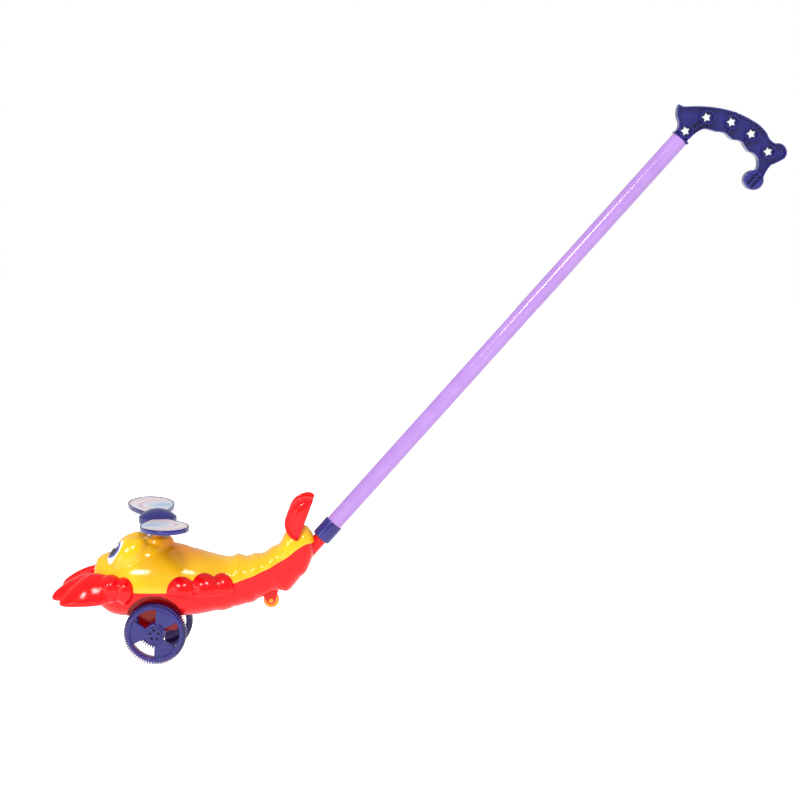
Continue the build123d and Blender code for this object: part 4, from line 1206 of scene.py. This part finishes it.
def makeHandle():
    size = handleSize
    outline = arcOutline(handleOutline, size["size"], 10)
    web = handlePrism("web", outline, -size["web"] / 2, size["web"] / 2)
    half, rim = size["half"], size["rim"]
    section = [
        (0, -half + 0.4), (0.4, -half), (rim - 0.4, -half), (rim, -half + 0.4), (rim, half - 0.4),
        (rim - 0.4, half), (0.4, half), (0, half - 0.4)]
    rings = [[handlePoint(u, v, deep) for u, v in drawnIn(outline, inset)] for inset, deep in section]
    parts = [throughRings("rim", rings, closed=True)]
    bar = (size["ribWidth"], size["ribHalf"])
    spots = [Vector(place) * size["size"] for place, outwards, inwards in handleRings]
    outer, inner = size["ringRadius"], size["ringRadius"] - size["ringWall"]
    profile = [
        (inner, -half), (outer - 0.2, -half), (outer, -half + 0.3), (outer, half - 0.3), (outer - 0.2, half),
        (inner, half)]
    for index, (place, outwards, inwards) in enumerate(handleRings):
        spot = spots[index]
        parts.append(lathed("ring", profile, handlePoint(spot.x, spot.y, 0), sideWay, steps=48))
        star = []
        for corner in range(10):
            radius = size["starRadius"] * (size["starWaist"] if corner % 2 else 1)
            angle = corner * pi / 5 + pi / 2
            star.append((spot.x + radius * cos(angle), spot.y + radius * sin(angle)))
        combine(web, [handlePrism("star", star, -half, half)], "DIFFERENCE")
        if outwards:
            before = spots[index - 1]
            after = spots[index + 1] if index + 1 < len(spots) else spot * 2 - before
            aside = (after - before).normalized().orthogonal()
            if aside.y > 0:
                aside = -aside
            for reach, way in ((outwards, aside), (inwards, -aside)):
                parts.append(handleBar("rib", spot + way * inner, spot + way * reach, *bar))
    along = (spots[1] - spots[0]).normalized()
    aside, end = along.orthogonal() * size["channelAside"], along * size["channelEnd"]
    for way in (-1, 1):
        first, last = spots[0] + end + aside * way, spots[1] - end + aside * way
        parts.append(handleBar("channel", first, last, *bar))
    low, high, long = size["neckLow"], size["neckHigh"], size["neckLong"]
    neck = [(0, low), (long, low), (long, high), (0, high)]
    parts.append(handlePrism("neck", neck, -half, half))
    knobAt = Vector(handleKnob) * size["size"]
    edge, radius = size["knobEdge"], size["knobRadius"]
    profile = [(0, -half)] + roundedSide(radius, -half, half, edge) + [(0, half)]
    knob = lathed("knob", profile, handlePoint(knobAt.x, knobAt.y, 0), sideWay, steps=72)
    for offset in (-size["slotAside"], size["slotAside"]):
        reach = sqrt((radius - size["slotMargin"]) ** 2 - offset ** 2)
        for low, high in ((-half - 1, -half + size["slotDepth"]), (half - size["slotDepth"], half + 1)):
            wide = size["slotWidth"] / 2
            corners = ((-reach, -wide), (reach, -wide), (reach, wide), (-reach, wide))
            slot = [(knobAt.x + u, knobAt.y + v + offset) for u, v in corners]
            combine(knob, [handlePrism("slot", slot, low, high)], "DIFFERENCE")
    plugRadius = poleSize["radius"] - poleSize["wall"] - size["plugGap"]
    plugBore, plugLow = plugRadius - size["plugWall"], -size["plugLong"]
    profile = [(plugBore, plugLow), (plugRadius, plugLow), (plugRadius, 0.5), (plugBore, 0.5)]
    plug = lathed("plug", profile, poleEnd, poleWay, sideWay, 64)
    return smoothShaded(joined("gripHandle", [web, knob, plug] + parts), 40)


finish(makeHandle(), violetPlastic, "body", "violet_plastic", "handle")


def makePole():
    size = poleSize
    outer, inner, length = size["radius"], size["radius"] - size["wall"], size["length"]
    profile = [(inner, 0), (outer, 0), (outer, length), (inner, length)]
    return smoothShaded(lathed("poleTube", profile, poleStart, poleWay, sideWay))


finish(makePole(), lilacPlastic, "body", "lilac_plastic", "pole_tube")


def makeCollar():
    size = collarSize
    edge, outer = size["edge"], size["radius"]
    inner, hollow = spigotSize["radius"] + 0.04, poleSize["radius"] + 0.03
    profile = [(inner, 0)] + roundedSide(outer, 0, size["length"], edge)
    profile += [(hollow, size["length"]), (hollow, size["lip"]), (inner, size["lip"])]
    return smoothShaded(lathed("collar", profile, collarFoot, poleWay, sideWay), 40)


finish(makeCollar(), violetPlastic, "body", "violet_plastic", "pole_collar")

rollerSize = dict(radius=7.8, width=8.0, edge=1.2, stubRadius=2.3)


def makeRoller():
    size = rollerSize
    low, high = (Vector(corner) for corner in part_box("tail_roller"))
    half, long = size["width"] / 2, (high.y - low.y) / 2 / mm
    edge, stub = size["edge"], size["stubRadius"]
    profile = [(0, -long), (stub - 0.3, -long), (stub, -long + 0.3), (stub, -half)]
    profile += roundedSide(size["radius"], -half, half, edge)
    profile += [(stub, half), (stub, long - 0.3), (stub - 0.3, long), (0, long)]
    return smoothShaded(lathed("roller", profile, (low + high) / 2, sideWay), 40)


finish(makeRoller(), orangePlastic, "roller", "orange_plastic", "tail_roller")
print("fan, handle, pole, collar and roller ready")

for material, nodes in (
        (orangePlastic, ("shaft_bush",)), (gearPlastic, ("crown_gear", "pinion", "gear_bracket")),
        (axleSteel, ("wheel_axle", "rotor_shaft")), (screwSteel, ("bracket_screws", "shell_screws"))):
    for node in nodes:
        dress(node, material)


# Studio: white floor and room, two small lights, a wide weak one and the camera of the photograph

studio = dict(
    cameraPlace=(0.2438, -1.989, 0.470), lookDown=6.0, lens=90.0, floorGlow=0.55, worldLight=0.76,
    aim=(0.05, 0, 0.1))
lights = (  # name, place, size and watts
    ("leftLight", (-0.80, -1.76, 1.58), (0.42, 0.42), 17),
    ("rightLight", (0.30, -1.64, 1.86), (0.42, 0.42), 17),
    ("fillLight", (-1.70, -1.90, 0.50), (1.3, 1.1), 8))


def makeFloor():
    far = 6.0
    corners = [(-far, -far, 0), (far, -far, 0), (far, far, 0), (-far, far, 0)]
    floor = meshPiece("floor", corners, [(0, 1, 2, 3)])
    material = bpy.data.materials.new("whiteFloor")
    material.use_nodes = True
    tree = material.node_tree
    shader = tree.nodes["Principled BSDF"]
    shader.inputs["Roughness"].default_value = 0.9
    coordinates = addNode(tree, "ShaderNodeTexCoord")
    noise = objectNoise(tree, coordinates, 3.0)
    white = mixColour(tree, noise.outputs["Fac"], (0.94, 0.94, 0.94, 1), (0.9, 0.9, 0.9, 1))
    tree.links.new(white, shader.inputs["Base Color"])
    shader.inputs["Emission Color"].default_value = (1, 1, 1, 1)
    path = addNode(tree, "ShaderNodeLightPath")
    glow = remap(tree, path.outputs["Is Camera Ray"], studio["floorGlow"], 1.0)
    tree.links.new(glow, shader.inputs["Emission Strength"])
    floor.data.materials.append(material)


def softLight(name, place, size, power):
    light = bpy.data.lights.new(name, "AREA")
    light.shape = "RECTANGLE"
    light.size, light.size_y = size
    light.energy = power
    lamp = bpy.data.objects.new(name, light)
    lamp.location = place
    lamp.rotation_euler = (Vector(studio["aim"]) - Vector(place)).to_track_quat("-Z", "Y").to_euler()
    scene.collection.objects.link(lamp)


makeFloor()
for light in lights:
    softLight(*light)

world = bpy.data.worlds.new("paleRoom")
world.use_nodes = True
tree = world.node_tree
backdrop = tree.nodes["Background"]
backdrop.inputs["Color"].default_value = (1, 1, 1, 1)
backdrop.inputs["Strength"].default_value = 1.0
roomLight = addNode(tree, "ShaderNodeBackground")
roomLight.inputs["Strength"].default_value = studio["worldLight"]
path = addNode(tree, "ShaderNodeLightPath")
choice = addNode(tree, "ShaderNodeMixShader")
tree.links.new(path.outputs["Is Camera Ray"], choice.inputs[0])
tree.links.new(roomLight.outputs["Background"], choice.inputs[1])
tree.links.new(backdrop.outputs["Background"], choice.inputs[2])
tree.links.new(choice.outputs["Shader"], tree.nodes["World Output"].inputs["Surface"])
scene.world = world
scene.view_settings.view_transform = "Standard"

camera = bpy.data.objects.new("camera", bpy.data.cameras.new("camera"))
camera.data.lens = studio["lens"]
camera.data.sensor_width = 36
camera.location = studio["cameraPlace"]
camera.rotation_euler = (radians(90 - studio["lookDown"]), 0, 0)
scene.collection.objects.link(camera)
scene.camera = camera
print("studio ready")

bpy.context.view_layer.update()
